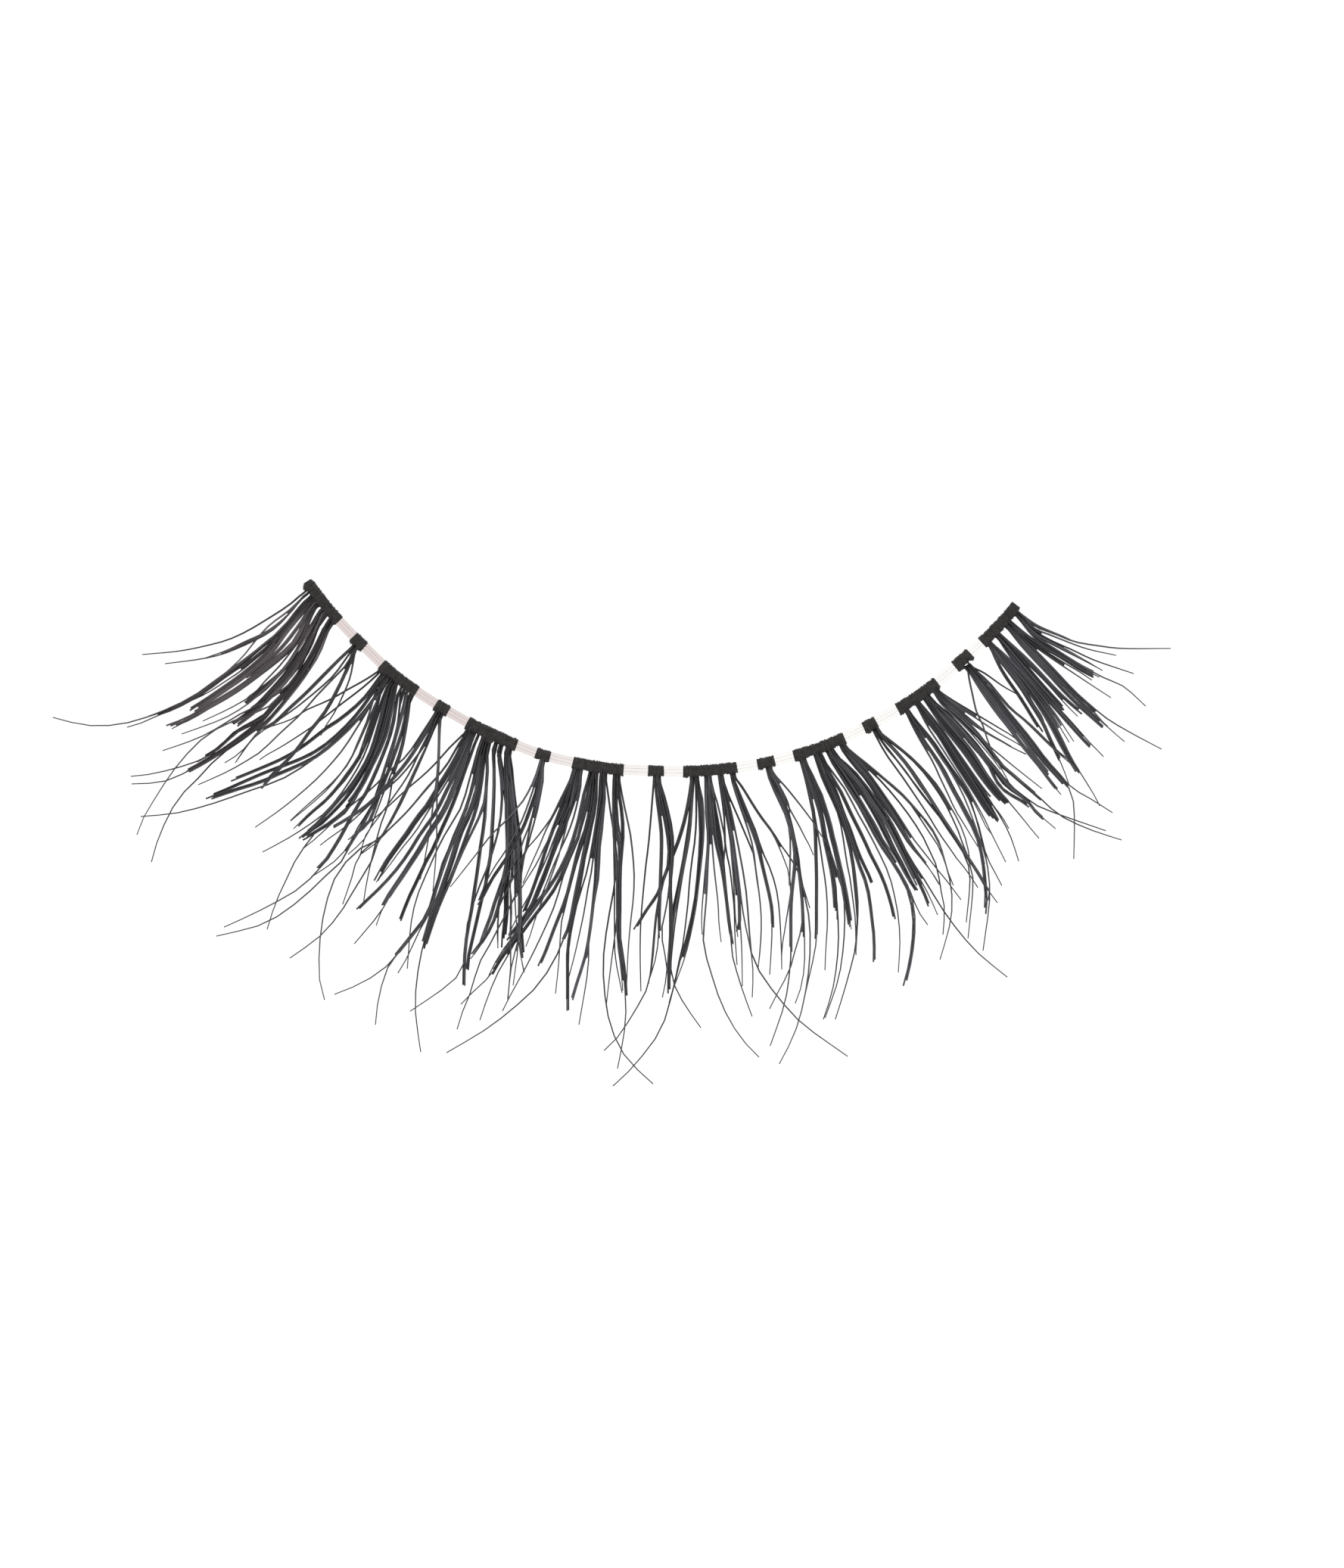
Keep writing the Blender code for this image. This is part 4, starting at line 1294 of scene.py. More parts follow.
            (1387, 954), (1396, 971), (1405, 988), (1415, 1005), (1425, 1021),
        )),
        Strand(1, (
            (1313, 854), (1330, 873), (1345, 889), (1358, 905), (1371, 922), (1383, 940),
            (1393, 956), (1402, 973), (1411, 992), (1420, 1009), (1433, 1030), (1447, 1053),
            (1453, 1065),
        )),
        Strand(1, (
            (1313, 853), (1325, 865), (1340, 880), (1354, 896), (1368, 914), (1381, 931),
            (1393, 948), (1404, 966), (1413, 981),
        )),
        Strand(1, (
            (1314, 853), (1328, 865), (1343, 880), (1358, 897), (1373, 915), (1386, 932),
            (1398, 948), (1409, 965), (1419, 980),
        )),
        Strand(2, (
            (1320, 844), (1330, 859), (1343, 877), (1359, 897), (1377, 917), (1393, 934),
            (1408, 951), (1424, 969), (1440, 986), (1451, 995),
        )),
        Strand(1, (
            (1321, 843), (1334, 860), (1348, 877), (1364, 897), (1381, 917), (1398, 935),
            (1413, 951), (1429, 969), (1444, 986), (1453, 994), (1458, 1000),
        )),
        Strand(3, (
            (1322, 843), (1337, 859), (1352, 877), (1368, 896), (1385, 915), (1398, 929),
            (1407, 940),
        )),
        Strand(1, (
            (1324, 842), (1341, 858), (1356, 875), (1373, 892), (1388, 908), (1400, 922),
            (1412, 935), (1424, 947),
        )),
        Strand(2, (
            (1325, 842), (1345, 860), (1364, 878), (1381, 896), (1398, 914), (1414, 929),
            (1431, 943),
        )),
        Strand(2, (
            (1333, 831), (1348, 850), (1367, 871), (1386, 891), (1405, 912), (1426, 933),
            (1444, 949), (1461, 964),
        )),
        Strand(2, (
            (1335, 830), (1352, 849), (1372, 870), (1392, 891), (1411, 911), (1431, 931),
            (1447, 947), (1463, 961),
        )),
        Strand(1, (
            (1336, 829), (1356, 849), (1377, 870), (1397, 891), (1416, 911), (1436, 930),
            (1452, 948), (1464, 961), (1486, 980),
        )),
        Strand(1, (
            (1336, 829), (1360, 851), (1382, 873), (1402, 894), (1421, 914), (1440, 931),
            (1462, 949), (1490, 966), (1535, 990),
        )),
        Strand(1, (
            (1339, 826), (1352, 840), (1369, 855), (1384, 866), (1400, 877), (1415, 887),
            (1445, 907), (1468, 922),
        )),
        Strand(1, (
            (1338, 827), (1355, 843), (1372, 855), (1390, 866), (1408, 877), (1425, 887),
            (1443, 899),
        )),
        Strand(2, (
            (1345, 815), (1354, 826), (1364, 838), (1378, 850), (1394, 859), (1410, 869),
            (1430, 881), (1452, 892),
        )),
        Strand(2, (
            (1339, 826), (1352, 838), (1366, 849), (1381, 857), (1398, 866), (1414, 876),
            (1432, 887), (1452, 897),
        )),
        Strand(1, (
            (1340, 825), (1356, 838), (1372, 849), (1390, 860), (1410, 871), (1430, 883),
            (1453, 895),
        )),
        Strand(1, (
            (1347, 813), (1358, 826), (1370, 838), (1385, 846), (1405, 856), (1430, 870),
            (1457, 886),
        )),
        Strand(1, (
            (1346, 814), (1357, 827), (1368, 839), (1384, 848), (1403, 858), (1425, 869),
            (1450, 882),
        )),
        Strand(1, (
            (1349, 812), (1367, 827), (1395, 838), (1420, 848), (1448, 853), (1480, 857),
            (1547, 857),
        )),
        Strand(1, ((1350, 812), (1370, 826), (1390, 835), (1405, 841), (1420, 848))),
        Strand(1, ((1348, 812), (1368, 831), (1385, 838), (1400, 844), (1435, 857), (1475, 866))),
        Strand(1, ((1347, 813), (1366, 833), (1392, 848), (1415, 858), (1445, 872), (1498, 890))),
        Strand(1, (
            (1346, 814), (1365, 838), (1395, 858), (1430, 880), (1460, 896), (1485, 907),
            (1514, 933),
        )),
    ),
}


# Sizes and colours that a user would change.


class ThreadSettings(PropertyGroup):
    """The clear threads."""

    diameter: FloatProperty(
        name="Diameter", description="Thickness of one clear thread", default=0.000135, unit="LENGTH"
    )
    tint: FloatVectorProperty(
        name="Tint",
        description="Colour of the threads at the strip's left end",
        default=(0.74, 0.66, 0.64),
        subtype="COLOR",
    )
    clear: FloatVectorProperty(
        name="Clear",
        description="Colour of the threads at the strip's right end",
        default=(0.95, 0.93, 0.91),
        subtype="COLOR",
    )


class KnotSettings(PropertyGroup):
    """The wound black knots."""

    ridge: FloatProperty(
        name="Ridge", description="Height of the clear threads' ridges", default=0.000012, unit="LENGTH"
    )
    wrap_diameter: FloatProperty(
        name="Thread", description="Thickness of the knotting thread", default=0.00007, unit="LENGTH"
    )
    wrap_pitch: FloatProperty(
        name="Pitch", description="Distance from one turn to the next", default=0.00006, unit="LENGTH"
    )
    fibre_length: FloatProperty(
        name="Fibre length", description="Length of the fine fibres", default=0.00008, unit="LENGTH"
    )
    fibres_per_mm: IntProperty(
        name="Fibres per mm", description="Fibres along each millimetre of a knot", default=140
    )
    # Partly painted shade: the dark colour lies where the bump grain is low or the random patches are, and
    # the light colour where both are high.
    dark: FloatVectorProperty(
        name="Dark",
        description="Colour deep in the wound thread",
        default=(0.024, 0.022, 0.021),
        subtype="COLOR",
    )
    light: FloatVectorProperty(
        name="Light",
        description="Colour of the thread's raised fibres",
        default=(0.062, 0.058, 0.056),
        subtype="COLOR",
    )


class HairSettings(PropertyGroup):
    """The hair."""

    diameter: FloatProperty(
        name="Diameter", description="Thickness of one hair at its root", default=0.000086, unit="LENGTH"
    )
    blunt_tip: FloatProperty(
        name="Blunt tip",
        description="Thickness at the tip of a cut hair, as a share",
        default=0.85,
        subtype="FACTOR",
    )
    fine_tip: FloatProperty(
        name="Fine tip",
        description="Thickness at the tip of a long hair, as a share",
        default=0.5,
        subtype="FACTOR",
    )
    spacing: FloatProperty(
        name="Spacing", description="Distance between hairs of a strand", default=0.000076, unit="LENGTH"
    )
    lift: FloatProperty(
        name="Lift", description="How far hairs lie above one another", default=0.00022, unit="LENGTH"
    )
    fill_gap: FloatProperty(
        name="Fill gap", description="Widest gap that short hairs fill", default=0.00015, unit="LENGTH"
    )
    dark: FloatVectorProperty(
        name="Dark",
        description="Colour of the darkest hairs",
        default=(0.024, 0.021, 0.023),
        subtype="COLOR",
    )
    # Painted highlight: the colour that the hairs' base colour is mixed towards, in bluish streaks along
    # them.
    sheen: FloatVectorProperty(
        name="Sheen",
        description="Colour of the hairs that catch the light",
        default=(0.112, 0.112, 0.126),
        subtype="COLOR",
    )
    # The left tuft's painted highlight colour, browner and lighter than the sheen of the rest.
    left_sheen: FloatVectorProperty(
        name="Faded",
        description="Colour of the lighter hair at the left end",
        default=(0.16, 0.138, 0.145),
        subtype="COLOR",
    )


class StageSettings(PropertyGroup):
    """The floor, the light and the sky."""

    floor_size: FloatProperty(
        name="Floor size", description="Side of the pale floor", default=2.0, unit="LENGTH"
    )
    floor_drop: FloatProperty(
        name="Floor drop", description="Gap from the strip to the floor", default=0.00001, unit="LENGTH"
    )
    floor_glow: FloatProperty(name="Floor glow", description="Brightness of the floor", default=1.05)
    sky: FloatProperty(name="Sky", description="Brightness of the sky", default=0.85)
    key_power: FloatProperty(
        name="Key light", description="Power of the large light", default=0.5, unit="POWER"
    )


class EyelashSettings(PropertyGroup):
    """Every piece's settings."""

    threads: PointerProperty(type=ThreadSettings)
    knots: PointerProperty(type=KnotSettings)
    hair: PointerProperty(type=HairSettings)
    stage: PointerProperty(type=StageSettings)


# From the photograph to the part.


def flat_point(point):
    """The plan point of a thing on the surface that the photograph shows at a pixel."""
    right, down = (Vector(point) - ARC_CENTRE) * PIXEL
    return Matrix.Rotation(PHOTO_TURN, 2) @ Vector((right, -down)) + Vector((0.0, BAND_RADIUS))


LOOK_AT = flat_point((PHOTO_WIDTH / 2, PHOTO_HEIGHT / 2))


def from_photo(point, height=0.0):
    """The plan point of a thing at a height that the photograph shows at a pixel."""
    return LOOK_AT + (flat_point(point) - LOOK_AT) * (CAMERA_HEIGHT - height) / CAMERA_HEIGHT


def band_angle(point):
    """The angle along the band of a point in the photograph."""
    place = from_photo(point)
    return math.atan2(place.x, BAND_RADIUS - place.y)


def band_bend(point):
    """How far a point in the photograph is from the band's centre."""
    place = from_photo(point)
    return math.hypot(place.x, BAND_RADIUS - place.y)


BENDS = [
    (
        (band_angle(knot.left) + band_angle(knot.right)) / 2,
        (band_bend(knot.left) + band_bend(knot.right)) / 2,
    )
    for knot in KNOTS
]


def radius_at(angle):
    """The band's radius at an angle, smoothed from knot to knot."""
    if angle <= BENDS[0][0]:
        return BENDS[0][1]
    for (before, low), (after, high) in zip(BENDS, BENDS[1:]):
        if angle <= after:
            share = (angle - before) / (after - before)
            return low + (high - low) * share * share * (3 - 2 * share)
    return BENDS[-1][1]


def on_band(angle, outwards, height):
    """The point at an angle along the band, so far outwards from its middle line, at a height."""
    radius = radius_at(angle) + outwards
    return Vector((radius * math.sin(angle), BAND_RADIUS - radius * math.cos(angle), height))


# Shapes.


def unit_tube(name, sides, steps, tip=1.0):
    """A closed tube round Z from 0 to 1, one in radius at its foot, that is copied and then bent."""
    bm = bmesh.new()
    bmesh.ops.create_cone(bm, cap_ends=True, segments=sides, radius1=1.0, radius2=tip, depth=1.0)
    bmesh.ops.translate(bm, verts=bm.verts, vec=(0.0, 0.0, 0.5))
    if steps > 1:
        sides_of = [edge for edge in bm.edges if abs(edge.verts[0].co.z - edge.verts[1].co.z) > 0.5]
        bmesh.ops.subdivide_edges(bm, edges=sides_of, cuts=steps - 1, use_grid_fill=True)
    mesh = bpy.data.meshes.new(name)
    bm.to_mesh(mesh)
    bm.free()
    return mesh


def add_bent(bm, template, place, values=()):
    """Copies a template into the bmesh, moves each point as place says, and writes its values."""
    first = len(bm.verts)
    bm.from_mesh(template)
    bm.verts.ensure_lookup_table()
    for vert in bm.verts[first:]:
        share = vert.co.z
        for layer, value in values:
            vert[layer] = value(share) if callable(value) else value
        vert.co = place(vert.co.copy())


def finish_piece(name, bm, node, material):
    """The finished piece: a smooth mesh that stands for its node and rides on the strip."""
    bmesh.ops.recalc_face_normals(bm, faces=bm.faces)
    for face in bm.faces:
        face.smooth = True
    mesh = bpy.data.meshes.new(name)
    bm.to_mesh(mesh)
    bm.free()
    mesh.materials.append(material)
    piece = bpy.data.objects.new(name, mesh)
    bpy.context.scene.collection.objects.link(piece)
    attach(piece, "root")
    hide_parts(node)
    return piece


def frame_along(points, upright):
    """At each point of a path: its place, and two directions square to it, the second near upright."""
    stations = []
    for i, point in enumerate(points):
        ahead = points[min(i + 1, len(points) - 1)] - points[max(i - 1, 0)]
        across = ahead.cross(upright[i]).normalized()
        stations.append((point, across, across.cross(ahead).normalized()))
    return stations


# The clear threads.


def make_thread(index, settings, material, template):
    """One clear thread, through every knot from end to end."""
    first = band_angle(KNOTS[0].left) + settings.diameter / BAND_RADIUS
    last = band_angle(KNOTS[-1].right) - settings.diameter / BAND_RADIUS
    outwards = (index - (THREAD_COUNT - 1) / 2) * settings.diameter
    radius = settings.diameter / 2

    def place(point):
        angle = first + (last - first) * point.z
        return on_band(angle, outwards + radius * point.x, THREAD_HEIGHT + radius * point.y)

    bm = bmesh.new()
    add_bent(bm, template, place)
    return finish_piece(f"filament_{index + 1}", bm, f"thread_{index + 1}", material)


# The knots.


def bulge_at(knot, share, length):
    """How far the knot's outer edge stands out at a share of the way along it."""
    total = 0.0
    for bulge, travelled in ((knot.left_bulge, share * length), (knot.right_bulge, (1 - share) * length)):
        half = (2 + abs(bulge)) * PIXEL
        total += bulge * PIXEL * math.sqrt(max(0.0, 1 - (travelled / half - 1) ** 2))
    beyond = (share - HUMP_PLACE) * length / (HUMP_REACH * PIXEL)
    return total + knot.hump * PIXEL * math.sqrt(max(0.0, 1 - beyond**2))


def rounding_at(knot, share, length):
    """The knot's half width at a share of the way along it, as a share of its half width at its middle."""
    size = 1.0
    for reach, travelled in ((knot.left_round, share * length), (knot.right_round, (1 - share) * length)):
        short = max(0.0, 1 - travelled / (reach * PIXEL))
        most = 2 * reach / knot.width
        size *= 1 - most * (1 - math.sqrt(1 - short**2))
    return size


def knot_surface(knot, settings, share, turn, length, inset):
    """The place on a knot at a share along it and a turn round it, and the way out of it there."""
    start = band_angle(knot.left)
    angle = start + (band_angle(knot.right) - start) * share
    across = math.copysign(abs(math.cos(turn)) ** ACROSS_POWER, math.cos(turn))
    up = math.copysign(abs(math.sin(turn)) ** UP_POWER, math.sin(turn))
    outwards = (knot.width * PIXEL / 2 - inset) * across
    if across > 0:
        outwards += bulge_at(knot, share, length) * across
    outwards *= rounding_at(knot, share, length)
    ridge = settings.ridge * math.cos(2 * math.pi * outwards * THREAD_COUNT / (knot.width * PIXEL))
    height = THREAD_HEIGHT + (THREAD_HEIGHT - inset - settings.ridge + ridge * abs(up)) * up
    place = on_band(angle, outwards, max(height, inset))
    beyond = on_band(angle, outwards + math.cos(turn), height + math.sin(turn))
    return place, (beyond - on_band(angle, outwards, height)).normalized()


def make_knot(knot, settings, material, fibre):
    """A knot: a core, the thread that is wound round it, and the fine fibres that stand off it."""
    chance = random.Random(knot.node)
    length = (band_angle(knot.right) - band_angle(knot.left)) * BAND_RADIUS
    wrap = settings.wrap_diameter / 2
    bm = bmesh.new()

    core = unit_tube("core", CORE_SIDES, max(2, round(length / CORE_STEP)))

    def place_core(point):
        share = (wrap + (length - 2 * wrap) * point.z) / length
        return knot_surface(knot, settings, share, math.atan2(point.y, point.x), length, CORE_INSET * wrap)[0]

    add_bent(bm, core, place_core)

    turns = max(4, round(length / settings.wrap_pitch))
    stops = turns * WRAP_STEPS
    drift = [chance.uniform(-WRAP_DRIFT, WRAP_DRIFT) for _ in range(turns + 2)]
    swell = [chance.uniform(*WRAP_SWELL) for _ in range(turns + 2)]
    points = []
    ways = []
    for stop in range(stops + 1):
        wound = stop / WRAP_STEPS
        whole = int(wound)
        slip = drift[whole] + (drift[whole + 1] - drift[whole]) * (wound - whole)
        share = (wrap + (length - 2 * wrap) * min(max((wound + slip) / turns, 0.0), 1.0)) / length
        place, way = knot_surface(knot, settings, share, 2 * math.pi * wound, length, wrap)
        points.append(place)
        ways.append(way)
    stations = frame_along(points, ways)

    def place_wrap(point):
        stop = round(point.z * stops)
        middle, across, out = stations[stop]
        size = wrap * swell[stop // WRAP_STEPS]
        return middle + size * (point.x * across + point.y * out) + (size - wrap) * out

    add_bent(bm, unit_tube("wrap", WRAP_SIDES, stops), place_wrap)

    for _ in range(round(settings.fibres_per_mm * length * 1000)):
        turn = chance.uniform(0, 2 * math.pi)
        root, way = knot_surface(knot, settings, chance.uniform(0.01, 0.99), turn, length, wrap)
        lean = Vector((chance.gauss(0, 1), chance.gauss(0, 1), chance.gauss(0, 0.6)))
        reach = wrap + settings.fibre_length * chance.uniform(*FIBRE_SHARE)
        tip = root + (way + lean * FIBRE_LEAN).normalized() * reach
        tip.z = max(tip.z, LOWEST_FIBRE)
        side = (tip - root).orthogonal().normalized()
        other = side.cross((tip - root).normalized())

        def place_fibre(point):
            return root.lerp(tip, point.z) + FIBRE_RADIUS * (point.x * side + point.y * other)

        add_bent(bm, fibre, place_fibre)
    return finish_piece(knot.node.replace("knot", "wound"), bm, knot.node, material)


# The hair.


def smooth_route(points):
    """Points along a smooth curve through the given ones, in pixels."""
    dense = []
    for i in range(len(points) - 1):
        here = points[i]
        there = points[i + 1]
        before = points[max(i - 1, 0)]
        after = points[min(i + 2, len(points) - 1)]
        span = (there - here).length
        leave = (there - before) * (span / ((there - here).length + (here - before).length))
        arrive = (after - here) * (span / ((after - there).length + (there - here).length))
        dense += interpolate_bezier(here, here + leave / 3, there - arrive / 3, there, ROUTE_STEPS + 1)[:-1]
    return dense + [points[-1]]


def route_length(route):
    """The length of a route in pixels."""
    return sum((after - before).length for before, after in zip(route, route[1:]))


def points_along(route, distances):
    """The points at rising distances along a route, in pixels."""
    found = []
    travelled = 0.0
    i = 0
    for distance in distances:
        while i < len(route) - 2 and travelled + (route[i + 1] - route[i]).length < distance:
            travelled += (route[i + 1] - route[i]).length
            i += 1
        step = (route[i + 1] - route[i]).length
        found.append(route[i].lerp(route[i + 1], min((distance - travelled) / step, 1.0)))
    return found


def full_route(strand):
    """A strand's smooth route, which starts inside its knot."""
    points = [Vector(point) for point in strand.route]
    inside = points[0] + (ARC_CENTRE - points[0]).normalized() * ROOT_INSIDE
    return smooth_route([inside] + points)


def hair_height(travelled, root, belly):
    """The height of a hair: from its root down to its belly, and then up along the curl."""
    if travelled < BELLY_REACH:
        return belly + (root - belly) * (1 - travelled / BELLY_REACH) ** 2
    along = (travelled - BELLY_REACH) / (LASH_REACH - BELLY_REACH)
    return belly + CURL_RISE * along**CURL_POWER


def thinned(share, tip):
    """A hair's thickness at a share of its length, as a share of its thickness at the root."""
    return 1 - (1 - tip) * share**THINNING_POWER


def add_hair(bm, layers, template, route, reach, aside, lift, radius, tip, chance):
    """One hair along the first share of a route, so many pixels aside of it."""
    length = route_length(route) * reach
    stops = points_along(route, [length * i / HAIR_STEPS for i in range(HAIR_STEPS + 1)])
    root = THREAD_HEIGHT + chance.uniform(-ROOT_SPREAD, ROOT_SPREAD) * KNOT_HEIGHT
    sway = chance.uniform(-SWAY, SWAY)
    phase = chance.uniform(0, 6)
    points = []
    for i, stop in enumerate(stops):
        share = i / HAIR_STEPS
        ahead = stops[min(i + 1, HAIR_STEPS)] - stops[max(i - 1, 0)]
        beside = Vector((-ahead.y, ahead.x)).normalized()
        spread = aside * (0.55 + 0.45 * min(1.0, 3 * share)) * thinned(share, tip)
        spread += sway * math.sin(phase + 4 * share)
        height = hair_height(length * share * PIXEL, root, radius + lift)
        plan = from_photo(stop + beside * spread, height)
        points.append(Vector((plan.x, plan.y, height)))
    stations = frame_along(points, [Vector((0.0, 0.0, 1.0))] * len(points))
    # Each hair's random tone, which sets how strongly its painted highlight shows.
    tone = chance.random()

    def place(point):
        middle, across, up = stations[round(point.z * HAIR_STEPS)]
        size = radius * thinned(point.z, tip)
        return middle + size * (point.x * across + point.y * up)

    add_bent(bm, template, place, ((layers[0], tone), (layers[1], lambda share: share * reach)))


def add_fillers(bm, layers, template, first, second, settings, lift, chance):
    """Short hairs between two strands, as far as the gap between them is narrow."""
    gap = settings.fill_gap / PIXEL
    if (first[0] - second[0]).length > gap:
        return
    length = min(route_length(first), route_length(second)) * FILL_REACH
    distances = [length * i / HAIR_STEPS for i in range(HAIR_STEPS + 1)]
    pairs = zip(points_along(first, distances), points_along(second, distances))
    middle = []
    for one, other in pairs:
        if (one - other).length > gap:
            break
        middle.append(one.lerp(other, 0.5))
    if len(middle) > 3:
        radius = settings.diameter / 2
        add_hair(bm, layers, template, middle, 1.0, 0.0, lift, radius, settings.blunt_tip, chance)


def make_tuft(node, settings, material, template):
    """One tuft: each strand's hairs side by side, and the short hairs between strands."""
    chance = random.Random(node)
    bm = bmesh.new()
    layers = (bm.verts.layers.float.new("tone"), bm.verts.layers.float.new("along"))
    above = settings.lift if "single" in node else 0.0
    radius = settings.diameter / 2
    space = settings.spacing / PIXEL
    routes = []
    for strand in STRANDS[node]:
        route = full_route(strand)
        lift = above + chance.uniform(0.0, settings.lift)
        for i in range(strand.hairs):
            aside = (i - (strand.hairs - 1) / 2) * space
            reach = 1.0 if strand.hairs == 1 else chance.uniform(SHORTEST_REACH, 1.0)
            tip = settings.fine_tip if strand.hairs == 1 else settings.blunt_tip
            add_hair(bm, layers, template, route, reach, aside, lift, radius, tip, chance)
            lift += chance.uniform(-LIFT_STEP, LIFT_STEP) * settings.diameter
        routes.append(route)
    for first, second in zip(routes, routes[1:]):
        lift = above + chance.uniform(0.0, settings.lift)
        add_fillers(bm, layers, template, first, second, settings, lift, chance)
    return finish_piece(node.replace("tuft", "hair"), bm, node, material)


# Materials.


def new_material(name):
    """A node material: its node tree, its shader, and the material."""
    material = bpy.data.materials.new(name)
    material.use_nodes = True
    return material, material.node_tree, material.node_tree.nodes["Principled BSDF"]


def add_node(tree, kind, **inputs):
    """A node of a kind, with values on its sockets, where a socket's name has _ for each space."""
    node = tree.nodes.new(kind)
    for name, value in inputs.items():
        node.inputs[name.replace("_", " ")].default_value = value
    return node


def colour_mix(tree, factor, first, second):
    """A colour between two others, by a factor's output."""
    mix = tree.nodes.new("ShaderNodeMix")
    mix.data_type = "RGBA"
    mix.inputs["A"].default_value = (*first, 1.0)
    mix.inputs["B"].default_value = (*second, 1.0)
    tree.links.new(factor, mix.inputs["Factor"])
    return mix.outputs["Result"]


def speckle_group():
    """The group that every material shares: uneven patches, and fine grain, in Object coordinates."""
    group = bpy.data.node_groups.new("Speckle", "ShaderNodeTree")
    for name, size in (("Patch scale", 2000.0), ("Grain scale", 20000.0)):
        socket = group.interface.new_socket(name, in_out="INPUT", socket_type="NodeSocketFloat")
        socket.default_value = size
    for name in ("Patches", "Grain"):
        group.interface.new_socket(name, in_out="OUTPUT", socket_type="NodeSocketFloat")
    inside = group.nodes.new("NodeGroupInput")
    outside = group.nodes.new("NodeGroupOutput")
    place = group.nodes.new("ShaderNodeTexCoord")
    for size, output, detail in (("Patch scale", "Patches", 2.0), ("Grain scale", "Grain", 3.0)):
        noise = add_node(group, "ShaderNodeTexNoise", Detail=detail)
        group.links.new(place.outputs["Object"], noise.inputs["Vector"])
        group.links.new(inside.outputs[size], noise.inputs["Scale"])
        group.links.new(noise.outputs["Fac"], outside.inputs[output])
    return group


def add_speckle(tree, group, patch_scale, grain_scale):
    """The shared group in a material, with that material's own scales."""
    node = tree.nodes.new("ShaderNodeGroup")
    node.node_tree = group
    node.inputs["Patch scale"].default_value = patch_scale
    node.inputs["Grain scale"].default_value = grain_scale
    return node


def add_bump(tree, shader, height, strength, distance):
    """A bump from a height's output to the shader's normal."""
    bump = add_node(tree, "ShaderNodeBump", Strength=strength, Distance=distance)
    tree.links.new(height, bump.inputs["Height"])
    tree.links.new(bump.outputs["Normal"], shader.inputs["Normal"])


def ranged(tree, value, low, high):
    """A value from 0 to 1 moved into the range from low to high."""
    node = add_node(tree, "ShaderNodeMapRange", To_Min=low, To_Max=high)
    tree.links.new(value, node.inputs["Value"])
    return node.outputs["Result"]


def thread_material(settings, group):
    """Clear plastic thread, pinkish at the left end and nearly colourless at the right."""
    material, tree, shader = new_material("clear_thread_finish")
    place = tree.nodes.new("ShaderNodeTexCoord")
    split = tree.nodes.new("ShaderNodeSeparateXYZ")
    tree.links.new(place.outputs["Object"], split.inputs["Vector"])
    fade = add_node(tree, "ShaderNodeMapRange", From_Min=-0.008, From_Max=0.002)
    tree.links.new(split.outputs["X"], fade.inputs["Value"])
    colour = colour_mix(tree, fade.outputs["Result"], settings.tint, settings.clear)
    tree.links.new(colour, shader.inputs["Base Color"])
    speckle = add_speckle(tree, group, 1500.0, 12000.0)
    tree.links.new(ranged(tree, speckle.outputs["Patches"], 0.1, 0.25), shader.inputs["Roughness"])
    shader.inputs["Transmission Weight"].default_value = 1.0
    shader.inputs["IOR"].default_value = 1.3
    return material


def knot_material(settings, group):
    """Matt black thread, mottled in random patches, with painted shade in the hollows of its bump grain and
    lighter colour on the grain's rises, and raised fibres.
    """
    material, tree, shader = new_material("black_thread_finish")
    speckle = add_speckle(tree, group, 6000.0, 45000.0)
    # Colour from random patches times the grain that also drives the bump: random mottle, and painted shade
    # in the grain's hollows.
    mottle_and_shade = tree.nodes.new("ShaderNodeMath")
    mottle_and_shade.operation = "MULTIPLY"
    tree.links.new(speckle.outputs["Patches"], mottle_and_shade.inputs[0])
    tree.links.new(speckle.outputs["Grain"], mottle_and_shade.inputs[1])
    strength = add_node(tree, "ShaderNodeMapRange", From_Min=0.12, From_Max=0.42)
    tree.links.new(mottle_and_shade.outputs["Value"], strength.inputs["Value"])
    colour = colour_mix(tree, strength.outputs["Result"], settings.dark, settings.light)
    tree.links.new(colour, shader.inputs["Base Color"])
    tree.links.new(ranged(tree, speckle.outputs["Grain"], 0.75, 0.95), shader.inputs["Roughness"])
    add_bump(tree, shader, speckle.outputs["Grain"], 0.6, 0.00001)
    shader.inputs["Specular IOR Level"].default_value = 0.2
    shader.inputs["Sheen Weight"].default_value = 0.08
    shader.inputs["Sheen Roughness"].default_value = 0.6
    return material


